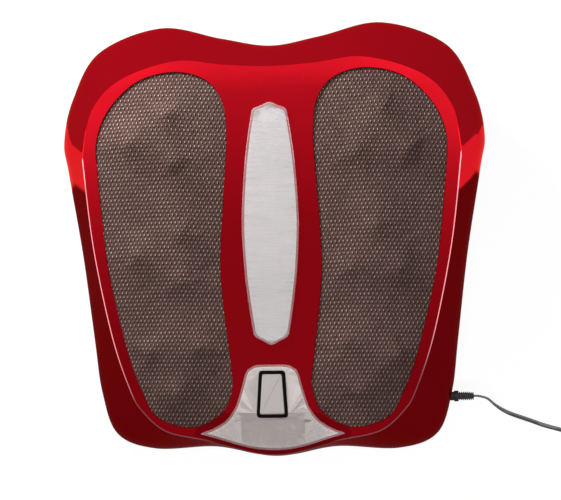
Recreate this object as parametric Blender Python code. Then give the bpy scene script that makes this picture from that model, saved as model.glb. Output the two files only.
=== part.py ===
"""Heated kneading foot massager, built as separate pieces in metres with +Z up.

The user sits on the -Y side with the toes towards +Y. The origin lies on the floor under the
middle of the housing. A glossy housing carries two mesh-covered foot wells. Under each mesh,
three heads with three knobs each turn on worm wheels, which one worm shaft and motor drive.
"""

import math

import bmesh
import bpy
from mathutils import Matrix, Vector
from mathutils.geometry import delaunay_2d_cdt

# Fits
FIT_GAP = 0.0003
CUT_OVERRUN = 0.002

# Housing
HALF_WIDTH = 0.204
HALF_DEPTH = 0.2055
DECK_HEIGHT = 0.0873
DECK_SLOPE_SHARE = 0.111
HOUSING_WALL = 0.0026
NOSE_START_SHARE = -0.808
NOSE_LENGTH_SHARE = 0.190
NOSE_DROP = 0.021
NOSE_FLAT_SHARE = 0.147
NOSE_FADE_SHARE = 0.2255
BELT_FAR_HEIGHT = 0.086
BELT_NEAR_HEIGHT = 0.018
SKIRT_HEIGHT = 0.004
SKIRT_TUCK = 0.006
LEDGE_WIDTH = 0.0028
LEDGE_THICKNESS = 0.0022
COVER_EDGE_FALL = 0.0009
COVER_GRID = 0.030
OUTLINE_STEPS = 2

# The half outlines run from the middle of the far side to the middle of the near side,
# as shares of the half width and half depth.
BELT_SHARES = ((0.0, 0.905), (0.235, 0.944), (0.525, 1.0), (0.826, 0.891), (0.956, 0.669),
               (1.0, 0.472), (0.978, 0.321), (0.912, -0.068), (0.863, -0.457),
               (0.831, -0.701), (0.760, -0.895), (0.578, -0.964), (0.294, -0.955),
               (0.098, -0.990), (0.0, -1.0))
RIM_SHARES = ((0.0, 0.777), (0.206, 0.788), (0.441, 0.810), (0.696, 0.732), (0.832, 0.599),
              (0.877, 0.409), (0.873, 0.287), (0.827, -0.068), (0.743, -0.457),
              (0.660, -0.701), (0.603, -0.798), (0.490, -0.891), (0.294, -0.934),
              (0.098, -0.983), (0.0, -0.993))
SHOULDER_OUT_SHARE = 0.54
SHOULDER_DOWN_SHARE = 0.38

# Foot wells, as shares of the half width and half depth, from the far end round the outer side
WELL_SHARES = ((0.445, 0.755), (0.615, 0.716), (0.745, 0.599), (0.806, 0.470),
               (0.811, 0.321), (0.771, -0.068), (0.725, -0.311), (0.660, -0.555),
               (0.607, -0.696), (0.530, -0.825), (0.368, -0.871), (0.230, -0.805),
               (0.184, -0.696), (0.188, -0.603), (0.230, -0.238), (0.231, -0.019),
               (0.211, 0.277), (0.202, 0.472), (0.222, 0.618), (0.300, 0.716))
WELL_STEPS = 2

# Mesh covers and the frames that hold them
MESH_THICKNESS = 0.0012
MESH_MARGIN = 0.0032
MESH_RISE = 0.0014
MESH_RAMP = 0.013
MESH_GRID = 0.0158
VALLEY_DIP = 0.0014
VALLEY_FADE = 0.014
FRAME_THICKNESS = 0.003
FRAME_INNER = 0.0008
FRAME_OUTER = 0.0034

# Spine panel
SPINE_MIDDLE_SHARE = 0.051
SPINE_LENGTH_SHARE = 1.105
SPINE_HALF_SHARE = 0.1314
SPINE_SHARES = ((0.0, 1.0), (0.30, 0.972), (0.57, 0.945), (0.65, 0.885), (0.82, 0.62),
                (0.925, 0.37), (1.0, 0.0), (0.925, -0.37), (0.82, -0.60), (0.655, -0.86),
                (0.57, -0.93), (0.30, -0.968), (0.0, -1.0))
SPINE_EDGE = 0.0021
INLAY_THICKNESS = 0.0006
LENS_THICKNESS = 0.0018
LENS_EDGE_FALL = 0.0009

# Control panel, a bell that ends at the lip
CONTROL_TOP_SHARE = -0.591
CONTROL_LENGTH_SHARE = 0.4015
CONTROL_HALF_SHARE = 0.3284
CONTROL_SHARES = ((0.0, 0.0), (0.21, 0.004), (0.30, 0.035), (0.365, 0.09), (0.430, 0.27),
                  (0.500, 0.45), (0.565, 0.54), (0.665, 0.63), (0.84, 0.715), (1.0, 0.765),
                  (0.94, 0.787), (0.74, 0.834), (0.50, 0.893), (0.25, 0.938), (0.0, 0.952))
CONTROL_THICKNESS = 0.0014
CONTROL_EDGE_INSET = 0.0012
CONTROL_EDGE_FALL = 0.0006
CONTROL_GRID = 0.0166

# Power button, its bezel, switch and board
BEZEL_TOP_SHARE = -0.619
BEZEL_LENGTH_SHARE = 0.209
BEZEL_TOP_HALF_SHARE = 0.0588
BEZEL_BOTTOM_HALF_SHARE = 0.0716
BEZEL_CORNER = 0.0030
BEZEL_WALL = 0.0026
BEZEL_PROUD = 0.0024
BEZEL_DEPTH = 0.0095
BUTTON_PROUD = 0.0021
BUTTON_TRAVEL = 0.0015
SWITCH_SIZE = 0.0065
SWITCH_HEIGHT = 0.0020
BOARD_THICKNESS = 0.0016
BOARD_MARGIN = 0.009

# Base plate, vents, screws and feet
BASE_THICKNESS = 0.003
FOOT_RADIUS = 0.013
FOOT_BEVEL = 0.0008
FAR_FOOT_SHARES = (0.667, 0.730)
NEAR_FOOT_INWARD = 0.0019
NEAR_FOOT_AHEAD = 0.0179
VENT_ROWS = 5
VENT_PITCH_SHARE = 0.068
VENT_WIDTH = 0.004
VENT_CORNER = 0.0013
VENT_LENGTH_SHARE = 0.255
FIRST_VENT_SHARES = (0.382, -0.029)
POST_RADIUS = 0.0052
SCREW_RADIUS = 0.0016
SCREW_HEAD_RADIUS = 0.0038
SCREW_HEAD_HEIGHT = 0.0024
SCREW_LENGTH = 0.014
CORNER_POST_SHARES = ((0.843, 0.681), (0.676, -0.827))
CENTRE_POST_SHARES = (0.506, -0.467)

# Massage mechanism, in a frame that lies in the deck: u to the right, v away from the user
# along the row of heads, w up out of the deck
TOE_HEAD_SHARES = (0.52206, 0.43796)
HEEL_HEAD_SHARES = (0.44118, -0.58394)
MIDDLE_HEAD_SHARE = 0.4765
HEAD_NAMES = ("toe", "arch", "heel")
RIGHT_PHASES = (math.radians(90), math.radians(88), math.radians(15))
LEFT_PHASES = (math.radians(66), math.radians(58), math.radians(34))
KNOBS = 3
KNOB_CIRCLE_SHARE = 0.1275
KNOB_RADIUS_SHARE = 0.0637
KNOB_HEIGHT = 0.020
KNOB_PEAK = 0.004
DISC_RADIUS_SHARE = 0.1814
DISC_THICKNESS = 0.004
HUB_RADIUS = 0.0085
HUB_HEIGHT = 0.0040
SPINDLE_RADIUS = 0.003
SPINDLE_CAP_RADIUS = 0.0055
SPINDLE_CAP_HEIGHT = 0.0014
HEAD_RING_SHARES = (0.345, 0.42, 0.54, 0.70, 0.83, 0.93, 1.0)
HEAD_SEGMENTS = 24

# Worm drive
MODULE = 0.0017
WHEEL_TEETH = 16
WORM_RADIUS = 0.0060
ADDENDUM = 0.0013
DEDENDUM = 0.0020
TOOTH_TIP_SHARE = 0.22
TOOTH_ROOT_SHARE = 0.50
WHEEL_WIDTH = 0.0076
WORM_TURNS = 1.75
WORM_STEPS = 8
SHAFT_RADIUS = WORM_RADIUS - DEDENDUM
SHAFT_SEGMENTS = 8
ROUND_SEGMENTS = 12

# Chassis, bushes, motors and heaters
TRAY_THICKNESS = 0.003
TRAY_OUTER = 0.017
TRAY_INNER = 0.031
TRAY_DROP = 0.0022
TRAY_LIP = 0.0008
BOSS_RADIUS = 0.0075
BOSS_SOCKET_RADIUS = 0.0055
NEAR_BULKHEAD_GAP = 0.029
FAR_BULKHEAD_GAP = 0.044
BULKHEAD_THICKNESS = 0.0030
NEAR_BULKHEAD_RISE = 0.0074
FAR_BULKHEAD_RISE = 0.0110
BUSH_WALL = 0.0016
BUSH_FLANGE = 0.0010
LEG_WIDTH = 0.0080
MOTOR_RADIUS = 0.0135
MOTOR_LENGTH = 0.030
MOTOR_COLLAR_RADIUS = 0.0066
MOTOR_COLLAR_LENGTH = 0.0030
HEATER_RADIUS = 0.0105
HEATER_HEIGHT = 0.026
HEATER_WALL = 0.0012
HEATER_STEM_RADIUS = 0.0045
HEATER_STEM_HEIGHT = 0.008
HEATER_SHARE = 0.262

# Lead: strain relief, free run, coil and wall adapter. The route starts from the relief in plan,
# and its heights are from the floor.
RELIEF_SHARES = (0.842, -0.725)
RELIEF_Z = 0.0205
COLLAR_RADIUS = 0.0052
COLLAR_LENGTH = 0.0040
NECK_RADIUS = 0.0042
NECK_LENGTH = 0.0075
SLEEVE_LENGTH = 0.0185
SLEEVE_ROOT_RADIUS = 0.0039
SLEEVE_TIP_RADIUS = 0.0030
SLEEVE_GROOVE = 0.0009
SLEEVE_RIBS = 8
CORD_RADIUS = 0.0018
CORD_STEP = 0.0085
CORD_ROUTE = ((0.0316, -0.0022, 0.0178), (0.0380, -0.0068, 0.0110), (0.0450, -0.0114, 0.0052),
              (0.0535, -0.0158, 0.0024), (0.0650, -0.0200, 0.0019), (0.0764, -0.0240, 0.0019),
              (0.0868, -0.0278, 0.0019), (0.1028, -0.0322, 0.0019), (0.1202, -0.0372, 0.0019),
              (0.1352, -0.0398, 0.0019))
COIL_ACROSS = 0.1652
COIL_ALONG = 0.0070
COIL_INNER_RADIUS = 0.034
COIL_TURNS = 3
COIL_GAP = 0.0006
COIL_LOOP_POINTS = 24
ADAPTER_CLEARANCE = 0.020
ADAPTER_ALONG = 0.044
ADAPTER_WIDTH = 0.030
ADAPTER_LENGTH = 0.058
ADAPTER_HEIGHT = 0.026
ADAPTER_BEVEL = 0.004
ADAPTER_BOOT_RADIUS = 0.0042
ADAPTER_BOOT_LENGTH = 0.012
PIN_WIDTH = 0.0062
PIN_THICKNESS = 0.0016
PIN_LENGTH = 0.016
PIN_SPACING = 0.0127

# Derived sizes across the housing
NOSE_START = NOSE_START_SHARE * HALF_DEPTH
NOSE_LENGTH = NOSE_LENGTH_SHARE * HALF_DEPTH
NOSE_FLAT_HALF = NOSE_FLAT_SHARE * HALF_WIDTH
NOSE_FADE = NOSE_FADE_SHARE * HALF_WIDTH
SPINE_MIDDLE_Y = SPINE_MIDDLE_SHARE * HALF_DEPTH
SPINE_LENGTH = SPINE_LENGTH_SHARE * HALF_DEPTH
SPINE_HALF_WIDTH = SPINE_HALF_SHARE * HALF_WIDTH
CONTROL_TOP_Y = CONTROL_TOP_SHARE * HALF_DEPTH
CONTROL_LENGTH = CONTROL_LENGTH_SHARE * HALF_DEPTH
CONTROL_HALF_WIDTH = CONTROL_HALF_SHARE * HALF_WIDTH
BEZEL_TOP_Y = BEZEL_TOP_SHARE * HALF_DEPTH
BEZEL_LENGTH = BEZEL_LENGTH_SHARE * HALF_DEPTH
BEZEL_TOP_HALF = BEZEL_TOP_HALF_SHARE * HALF_WIDTH
BEZEL_BOTTOM_HALF = BEZEL_BOTTOM_HALF_SHARE * HALF_WIDTH
VENT_PITCH = VENT_PITCH_SHARE * HALF_DEPTH
VENT_LENGTH = VENT_LENGTH_SHARE * HALF_WIDTH
KNOB_CIRCLE = KNOB_CIRCLE_SHARE * HALF_WIDTH
KNOB_RADIUS = KNOB_RADIUS_SHARE * HALF_WIDTH
DISC_RADIUS = DISC_RADIUS_SHARE * HALF_WIDTH

# Derived sizes, and levels across the deck, measured along w
BUTTON_DEPTH = BEZEL_DEPTH - SWITCH_HEIGHT - BUTTON_TRAVEL - FIT_GAP
DISC_TOP = KNOB_PEAK - KNOB_HEIGHT
DISC_BOTTOM = DISC_TOP - DISC_THICKNESS
HUB_BOTTOM = DISC_BOTTOM - HUB_HEIGHT
WHEEL_TOP = HUB_BOTTOM - FIT_GAP
WHEEL_BOTTOM = WHEEL_TOP - WHEEL_WIDTH
WORM_LEVEL = (WHEEL_TOP + WHEEL_BOTTOM) / 2
TRAY_TOP = WORM_LEVEL - WORM_RADIUS - ADDENDUM - TRAY_DROP
TRAY_BOTTOM = TRAY_TOP - TRAY_THICKNESS
AXIAL_PITCH = math.pi * MODULE
WHEEL_RADIUS = MODULE * WHEEL_TEETH / 2
CENTRE_DISTANCE = WHEEL_RADIUS + WORM_RADIUS
BUSH_BORE = (SHAFT_RADIUS + FIT_GAP) / math.cos(math.pi / SHAFT_SEGMENTS)
SWEEP_RADIUS = KNOB_CIRCLE + KNOB_RADIUS
DECK_ANGLE = math.atan(DECK_SLOPE_SHARE)
ROW_ACROSS = (TOE_HEAD_SHARES[0] - HEEL_HEAD_SHARES[0]) * HALF_WIDTH
ROW_ALONG = (TOE_HEAD_SHARES[1] - HEEL_HEAD_SHARES[1]) * HALF_DEPTH / math.cos(DECK_ANGLE)
HEAD_ROW_LENGTH = math.hypot(ROW_ACROSS, ROW_ALONG)
ROW_ANGLE = math.atan2(ROW_ACROSS, ROW_ALONG)
BASE_TOP = SKIRT_HEIGHT + BASE_THICKNESS
COIL_PITCH = 2 * CORD_RADIUS + COIL_GAP
RELIEF_X = RELIEF_SHARES[0] * HALF_WIDTH
RELIEF_Y = RELIEF_SHARES[1] * HALF_DEPTH
COIL_X = RELIEF_X + COIL_ACROSS
COIL_Y = RELIEF_Y + COIL_ALONG
ADAPTER_X = COIL_X + COIL_INNER_RADIUS + COIL_TURNS * COIL_PITCH + ADAPTER_CLEARANCE
ADAPTER_Y = COIL_Y + ADAPTER_ALONG
NEAR_BULKHEAD_V = -HEAD_ROW_LENGTH - NEAR_BULKHEAD_GAP
FAR_BULKHEAD_V = FAR_BULKHEAD_GAP
MOTOR_FACE_V = FAR_BULKHEAD_V + BULKHEAD_THICKNESS / 2 + TRAY_LIP + FIT_GAP


# Curves and outlines

def catmull_rom(points, steps, closed=False):
    """Smooth curve through the points, with so many steps between neighbours."""
    points = [Vector(p) for p in points]
    count = len(points)
    curve = []
    for i in range(count if closed else count - 1):
        if closed:
            a, b, c, d = (points[(i + k) % count] for k in (-1, 0, 1, 2))
        else:
            a, b = points[max(i - 1, 0)], points[i]
            c, d = points[i + 1], points[min(i + 2, count - 1)]
        for step in range(steps):
            t = step / steps
            curve.append(0.5 * (2 * b + (c - a) * t + (2 * a - 5 * b + 4 * c - d) * t * t
                                + (3 * b - a - 3 * c + d) * t ** 3))
    if not closed:
        curve.append(points[-1])
    return curve


def mirrored_loop(shares, half_width, half_depth, steps):
    """Closed anticlockwise outline from the shares of its right half."""
    half = [Vector((x * half_width, y * half_depth)) for x, y in shares]
    left = [Vector((-p.x, p.y)) for p in half]
    return catmull_rom(left + half[-2:0:-1], steps, closed=True)


def offset_loop(loop, distance):
    """The loop moved outwards by the distance, or inwards where it is negative."""
    moved = []
    for i, point in enumerate(loop):
        along = (loop[(i + 1) % len(loop)] - loop[i - 1]).normalized()
        moved.append(point + Vector((along.y, -along.x)) * distance)
    return moved


def rounded_loop(corners, radius, arc_steps=3):
    """Closed outline through the corners, each rounded by an arc of the radius."""
    loop = []
    for i, corner in enumerate(corners):
        corner = Vector(corner)
        before = (Vector(corners[i - 1]) - corner).normalized()
        after = (Vector(corners[(i + 1) % len(corners)]) - corner).normalized()
        half_angle = before.angle(after) / 2
        centre = corner + (before + after).normalized() * (radius / math.sin(half_angle))
        start = corner + before * (radius / math.tan(half_angle)) - centre
        sweep = start.angle_signed(corner + after * (radius / math.tan(half_angle)) - centre)
        for step in range(arc_steps + 1):
            turn = Matrix.Rotation(-sweep * step / arc_steps, 2)
            loop.append(centre + turn @ start)
    return loop


def circle_loop(centre, radius, segments):
    """Closed anticlockwise circle."""
    return [Vector((centre[0] + radius * math.cos(2 * math.pi * i / segments),
                    centre[1] + radius * math.sin(2 * math.pi * i / segments)))
            for i in range(segments)]


def smooth(t):
    """Smooth step from 0 to 1."""
    t = min(max(t, 0.0), 1.0)
    return t * t * (3 - 2 * t)


def inside(point, loop):
    """True where the point lies within the loop."""
    within = False
    for i, a in enumerate(loop):
        b = loop[i - 1]
        if (a.y > point[1]) != (b.y > point[1]):
            if point[0] < (b.x - a.x) * (point[1] - a.y) / (b.y - a.y) + a.x:
                within = not within
    return within


def edge_distance(point, loop):
    """Shortest distance from the point to the loop."""
    point = Vector(point)
    best = math.inf
    for i, a in enumerate(loop):
        run = loop[i - 1] - a
        share = min(max((point - a).dot(run) / run.length_squared, 0.0), 1.0)
        best = min(best, (point - a - run * share).length)
    return best


# Surfaces of the housing

def deck_plane(x, y):
    """Height of the flat deck, which falls towards the user."""
    return DECK_HEIGHT + DECK_SLOPE_SHARE * y


def deck_surface(x, y):
    """Height of the cover's upper face, with the nose bent down to the lip."""
    nose = min(max((NOSE_START - y) / NOSE_LENGTH, 0.0), 1.0)
    side = 1 - smooth((abs(x) - NOSE_FLAT_HALF) / NOSE_FADE)
    return deck_plane(x, y) - NOSE_DROP * nose * side


def below(surface, depth):
    """The surface function lowered by the depth."""
    return lambda x, y: surface(x, y) - depth


def level(height):
    """A flat surface function."""
    return lambda x, y: height


def belt_height(y):
    """Height of the housing's widest line, which runs from a low lip to a high far side."""
    share = (y + HALF_DEPTH) / (2 * HALF_DEPTH)
    return BELT_NEAR_HEIGHT + (BELT_FAR_HEIGHT - BELT_NEAR_HEIGHT) * share


BELT = mirrored_loop(BELT_SHARES, HALF_WIDTH, HALF_DEPTH, OUTLINE_STEPS)
RIM = mirrored_loop(RIM_SHARES, HALF_WIDTH, HALF_DEPTH, OUTLINE_STEPS)
BASE_EDGE = offset_loop(BELT, -SKIRT_TUCK - HOUSING_WALL - FIT_GAP)


def well_loop(side):
    """Outline of one foot well, anticlockwise, for side 1 (right) or -1 (left)."""
    points = [Vector((side * x * HALF_WIDTH, y * HALF_DEPTH)) for x, y in WELL_SHARES]
    if side > 0:
        points.reverse()
    return catmull_rom(points, WELL_STEPS, closed=True)


# Meshes and objects

def material(name, colour, roughness, metallic=0.0, alpha=1.0):
    """A Principled material in the piece's colour."""
    made = bpy.data.materials.get(name) or bpy.data.materials.new(name)
    made.use_nodes = True
    shader = made.node_tree.nodes["Principled BSDF"]
    shader.inputs["Base Color"].default_value = (*colour, 1.0)
    shader.inputs["Roughness"].default_value = roughness
    shader.inputs["Metallic"].default_value = metallic
    shader.inputs["Alpha"].default_value = alpha
    return made


def finish_piece(name, bm, look, matrix=None, mirror=False, sharp=math.radians(35)):
    """Make one object of the bmesh, placed by the matrix and mirrored in x where asked."""
    matrix = Matrix.Identity(4) if matrix is None else matrix
    if mirror:
        flip = Matrix.Scale(-1, 4, Vector((1, 0, 0)))
        bm.transform(flip)
        matrix = flip @ matrix @ flip
    bmesh.ops.recalc_face_normals(bm, faces=bm.faces)
    if bm.calc_volume(signed=True) < 0:
        bmesh.ops.reverse_faces(bm, faces=bm.faces)
    mesh = bpy.data.meshes.new(name)
    bm.to_mesh(mesh)
    bm.free()
    mesh.shade_smooth()
    mesh.set_sharp_from_angle(angle=sharp)
    mesh.materials.append(look)
    made = bpy.data.objects.new(name, mesh)
    made.matrix_world = matrix
    bpy.context.scene.collection.objects.link(made)
    return made


def grid_spots(outer, holes, guides, grid):
    """Staggered points inside the outer loop that keep off the holes and the guides."""
    spots = []
    columns = int(max(p.x for p in outer) / grid) + 1
    rows = int(max(abs(p.y) for p in outer) / grid) + 1
    for row in range(-rows, rows + 1):
        for column in range(-2 * columns, columns + 1):
            spot = Vector(((column + 0.5 * (row % 2)) * grid, row * grid))
            if not inside(spot, outer) or any(inside(spot, hole) for hole in holes):
                continue
            if min(edge_distance(spot, loop) for loop in guides) > 0.45 * grid:
                spots.append(spot)
    return spots


def sheet(outer, holes, top, bottom, grid=0.0, edge_inset=0.0, edge_fall=0.0, shared=None,
          lines=()):
    """Closed plate between two surfaces, inside the outer loop and outside the holes.

    Its upper edges fall by edge_fall over edge_inset. The grid is the spacing of inner points,
    which a curved surface needs, and lines are more loops that its facets follow. A piece that
    lies on the plate gives its own guide loops and inner points as shared, so that both have
    the same facets there.
    """
    loops = [outer] + list(holes)
    own = loops if shared is None else [p for p in loops if not inside(p[0], shared[0][0])]
    guides = loops + list(lines)
    if edge_inset:
        guides += [offset_loop(loop, -edge_inset if loop is outer else edge_inset)
                   for loop in own]
    spots = []
    if shared is not None:
        guides += shared[0]
        spots += shared[1]
    if grid:
        closed = list(holes) if shared is None else list(holes) + [shared[0][0]]
        spots += grid_spots(outer, closed, guides, grid)
    points, edges = [], []
    for loop in guides:
        first = len(points)
        points += loop
        edges += [(first + i, first + (i + 1) % len(loop)) for i in range(len(loop))]
    rim_count = sum(len(loop) for loop in loops)
    points += spots
    flat, _, faces, origins, _, _ = delaunay_2d_cdt(points, edges, [], 0, 1e-7)
    kept = []
    for face in faces:
        middle = sum((flat[i] for i in face), Vector((0, 0))) / len(face)
        if inside(middle, outer) and not any(inside(middle, hole) for hole in holes):
            kept.append(face)
    bm = bmesh.new()
    upper, lower = {}, {}
    for index in sorted({i for face in kept for i in face}):
        x, y = flat[index]
        fall = edge_fall if any(o < rim_count for o in origins[index]) else 0.0
        upper[index] = bm.verts.new((x, y, top(x, y) - fall))
        lower[index] = bm.verts.new((x, y, bottom(x, y)))
    border = set()
    for face in kept:
        bm.faces.new([upper[i] for i in face])
        bm.faces.new([lower[i] for i in reversed(face)])
        for a, b in zip(face, face[1:] + face[:1]):
            if (b, a) in border:
                border.remove((b, a))
            else:
                border.add((a, b))
    for a, b in sorted(border):
        bm.faces.new((upper[b], upper[a], lower[a], lower[b]))
    return bm


def lathe(profile, segments, axis="Z"):
    """Closed turned solid from (radius, height) pairs; a radius of 0 ends it on the axis."""
    bm = bmesh.new()
    rings = []
    for radius, height in profile:
        if radius == 0:
            rings.append([bm.verts.new((0, 0, height))])
            continue
        rings.append([bm.verts.new((p.x, p.y, height))
                      for p in circle_loop((0, 0), radius, segments)])
    if profile[0][0] != 0:
        rings.append(rings[0])
    for low, high in zip(rings, rings[1:]):
        for i in range(segments):
            j = (i + 1) % segments
            corners = [low[i % len(low)], low[j % len(low)], high[j % len(high)],
                       high[i % len(high)]]
            bm.faces.new(list(dict.fromkeys(corners)))
    if axis == "X":
        bm.transform(Matrix.Rotation(math.pi / 2, 4, "Y"))
    if axis == "Y":
        bm.transform(Matrix.Rotation(-math.pi / 2, 4, "X"))
    return bm


def raised_ring(bm, radius, height, segments):
    """A level ring of vertices round the axis."""
    return [bm.verts.new((p.x, p.y, height)) for p in circle_loop((0, 0), radius, segments)]


def stitch(bm, here, there):
    """Faces between two rings, one of which may have twice as many vertices."""
    if len(here) > len(there):
        here, there = there, here
    ratio = len(there) // len(here)
    for i, vert in enumerate(here):
        after = here[(i + 1) % len(here)]
        run = [there[(i * ratio + k) % len(there)] for k in range(ratio + 1)]
        if ratio == 1:
            bm.faces.new((vert, run[0], run[1], after))
            continue
        for a, b in zip(run, run[1:]):
            bm.faces.new((vert, a, b))
        bm.faces.new((vert, run[-1], after))


def box(size, centre):
    """Closed box as a bmesh."""
    bm = bmesh.new()
    bmesh.ops.create_cube(bm, size=1)
    bm.transform(Matrix.Translation(centre) @ Matrix.Diagonal((*size, 1)))
    return bm


def combine(name, base, parts, operation):
    """Cut the parts from the base, or join them to it, and give the result as a bmesh."""
    holder = finish_piece(name + "_work", base, material("work", (1, 1, 1), 1))
    extra = []
    for number, part in enumerate(parts):
        tool = finish_piece(f"{name}_tool_{number}", part, material("work", (1, 1, 1), 1))
        cut = holder.modifiers.new(f"{operation}_{number}", "BOOLEAN")
        cut.operation = operation
        cut.object = tool
        extra.append(tool)
    evaluated = holder.evaluated_get(bpy.context.evaluated_depsgraph_get())
    bm = bmesh.new()
    bm.from_mesh(evaluated.to_mesh())
    for made in [holder] + extra:
        mesh = made.data
        bpy.data.objects.remove(made)
        bpy.data.meshes.remove(mesh)
    return bm


# Housing pieces

def plan_place(shares, side=1):
    """The plan place at the shares of the half width and half depth, on the side."""
    return side * shares[0] * HALF_WIDTH, shares[1] * HALF_DEPTH


def post_places():
    """Plan places of the shell's corner posts and the cover's centre posts."""
    corners = [plan_place(shares, side) for side in (1, -1) for shares in CORNER_POST_SHARES]
    centre = [(0, share * HALF_DEPTH) for share in CENTRE_POST_SHARES]
    return corners, centre


def post(x, y, surface):
    """A screw post from the base plate up into the wall under the surface."""
    outline = circle_loop((x, y), POST_RADIUS, SHAFT_SEGMENTS)
    return sheet(outline, (), below(surface, HOUSING_WALL / 2), level(BASE_TOP + FIT_GAP))


def pilot_hole(x, y):
    """The blind hole in a post that takes its screw."""
    radius, top = SCREW_RADIUS + FIT_GAP, SKIRT_HEIGHT + SCREW_LENGTH + CUT_OVERRUN
    bm = lathe(((0, 0), (radius, 0), (radius, top), (0, top)), SHAFT_SEGMENTS)
    bm.transform(Matrix.Translation((x, y, 0)))
    return bm


def shoulder_surface(x, y):
    """Height of the shell's outer face above a place between the rim and the belt."""
    spot = Vector((x, y))
    best = min(range(len(BELT)), key=lambda i: ((RIM[i] + BELT[i]) / 2 - spot).length)
    run = BELT[best] - RIM[best]
    share = (spot - RIM[best]).dot(run) / run.length_squared
    rim_z, belt_z = deck_surface(*RIM[best]), belt_height(BELT[best].y)
    shoulder_z = rim_z + (belt_z - rim_z) * SHOULDER_DOWN_SHARE
    if share < SHOULDER_OUT_SHARE:
        return rim_z + (shoulder_z - rim_z) * share / SHOULDER_OUT_SHARE
    part = (share - SHOULDER_OUT_SHARE) / (1 - SHOULDER_OUT_SHARE)
    return shoulder_z + (belt_z - shoulder_z) * part


def body_shell(look):
    """The housing's skirt: shoulder, flank and the ledge that carries the cover."""
    count = len(BELT)
    rim_out = offset_loop(RIM, FIT_GAP)
    ledge_in = offset_loop(RIM, -LEDGE_WIDTH)
    seat = HOUSING_WALL + FIT_GAP

    def shoulder(i, inset):
        """A point on the shoulder, between the rim and the belt."""
        run = BELT[i] - rim_out[i]
        rim_z = deck_surface(*rim_out[i])
        z = rim_z - (rim_z - belt_height(BELT[i].y)) * SHOULDER_DOWN_SHARE - inset
        spot = rim_out[i] + run * SHOULDER_OUT_SHARE - run.normalized() * inset
        return (*spot, z)

    belt_in = offset_loop(BELT, -HOUSING_WALL)
    skirt_out = offset_loop(BELT, -SKIRT_TUCK)
    skirt_in = offset_loop(BELT, -SKIRT_TUCK - HOUSING_WALL)
    bm = bmesh.new()
    rings = []
    for i in range(count):
        rim_z = deck_surface(*rim_out[i])
        ledge_z = deck_surface(*ledge_in[i]) - seat
        section = (
            (*rim_out[i], rim_z), shoulder(i, 0.0), (*BELT[i], belt_height(BELT[i].y)),
            (*skirt_out[i], SKIRT_HEIGHT), (*skirt_in[i], SKIRT_HEIGHT),
            (*belt_in[i], belt_height(BELT[i].y)), shoulder(i, HOUSING_WALL + FIT_GAP),
            (*ledge_in[i], ledge_z - LEDGE_THICKNESS), (*ledge_in[i], ledge_z),
            (*rim_out[i], rim_z - seat))
        rings.append([bm.verts.new(p) for p in section])
    for i in range(count):
        here, there = rings[i], rings[(i + 1) % count]
        for k in range(len(here)):
            j = (k + 1) % len(here)
            bm.faces.new((here[k], there[k], there[j], here[j]))
    corners, _ = post_places()
    posts = [post(x, y, shoulder_surface) for x, y in corners]
    bm = combine("body_shell", bm, posts, "UNION")
    holes = [pilot_hole(x, y) for x, y in corners]
    neck = lathe(((0, -NECK_LENGTH), (NECK_RADIUS + FIT_GAP, -NECK_LENGTH),
                  (NECK_RADIUS + FIT_GAP, COLLAR_LENGTH), (0, COLLAR_LENGTH)),
                 SHAFT_SEGMENTS, "X")
    neck.transform(Matrix.Translation((RELIEF_X, RELIEF_Y, RELIEF_Z)))
    bm = combine("body_shell", bm, holes + [neck], "DIFFERENCE")
    return finish_piece("body_shell", bm, look)


def bezel_outline(inset):
    """The power button's rounded trapezoid, drawn in by the inset."""
    top, bottom = BEZEL_TOP_Y - inset, BEZEL_TOP_Y - BEZEL_LENGTH + inset
    corners = ((-BEZEL_BOTTOM_HALF + inset, bottom), (BEZEL_BOTTOM_HALF - inset, bottom),
               (BEZEL_TOP_HALF - inset, top), (-BEZEL_TOP_HALF + inset, top))
    return rounded_loop(corners, max(BEZEL_CORNER - inset / 2, BEZEL_CORNER / 2))


def top_cover(look):
    """The cover, with a well opening for each foot, the button's opening and two posts."""
    outer = offset_loop(RIM, 0.0)
    hole, guides, spots = control_layout()
    holes = [well_loop(1), well_loop(-1), hole]
    bm = sheet(outer, holes, deck_surface, below(deck_surface, HOUSING_WALL), COVER_GRID,
               LEDGE_WIDTH, COVER_EDGE_FALL, (guides, spots))
    _, centre = post_places()
    posts = [post(x, y, deck_surface) for x, y in centre]
    bm = combine("top_cover", bm, posts, "UNION")
    bm = combine("top_cover", bm, [pilot_hole(x, y) for x, y in centre], "DIFFERENCE")
    return finish_piece("top_cover", bm, look)


def base_plate(look):
    """The floor of the housing, with vents under the motors and holes for the screws."""
    holes = []
    corners, centre = post_places()
    for x, y in corners + centre:
        holes.append(circle_loop((x, y), SCREW_RADIUS + FIT_GAP, SHAFT_SEGMENTS))
    for side in (1, -1):
        x, first = plan_place(FIRST_VENT_SHARES, side)
        x0, x1 = x - VENT_LENGTH / 2, x + VENT_LENGTH / 2
        for row in range(VENT_ROWS):
            y = first + row * VENT_PITCH
            slot = ((x0, y), (x1, y), (x1, y + VENT_WIDTH), (x0, y + VENT_WIDTH))
            holes.append(rounded_loop(slot, VENT_CORNER, 1))
    bm = sheet(BASE_EDGE, holes, level(BASE_TOP), level(SKIRT_HEIGHT))
    return finish_piece("base_plate", bm, look)


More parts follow.
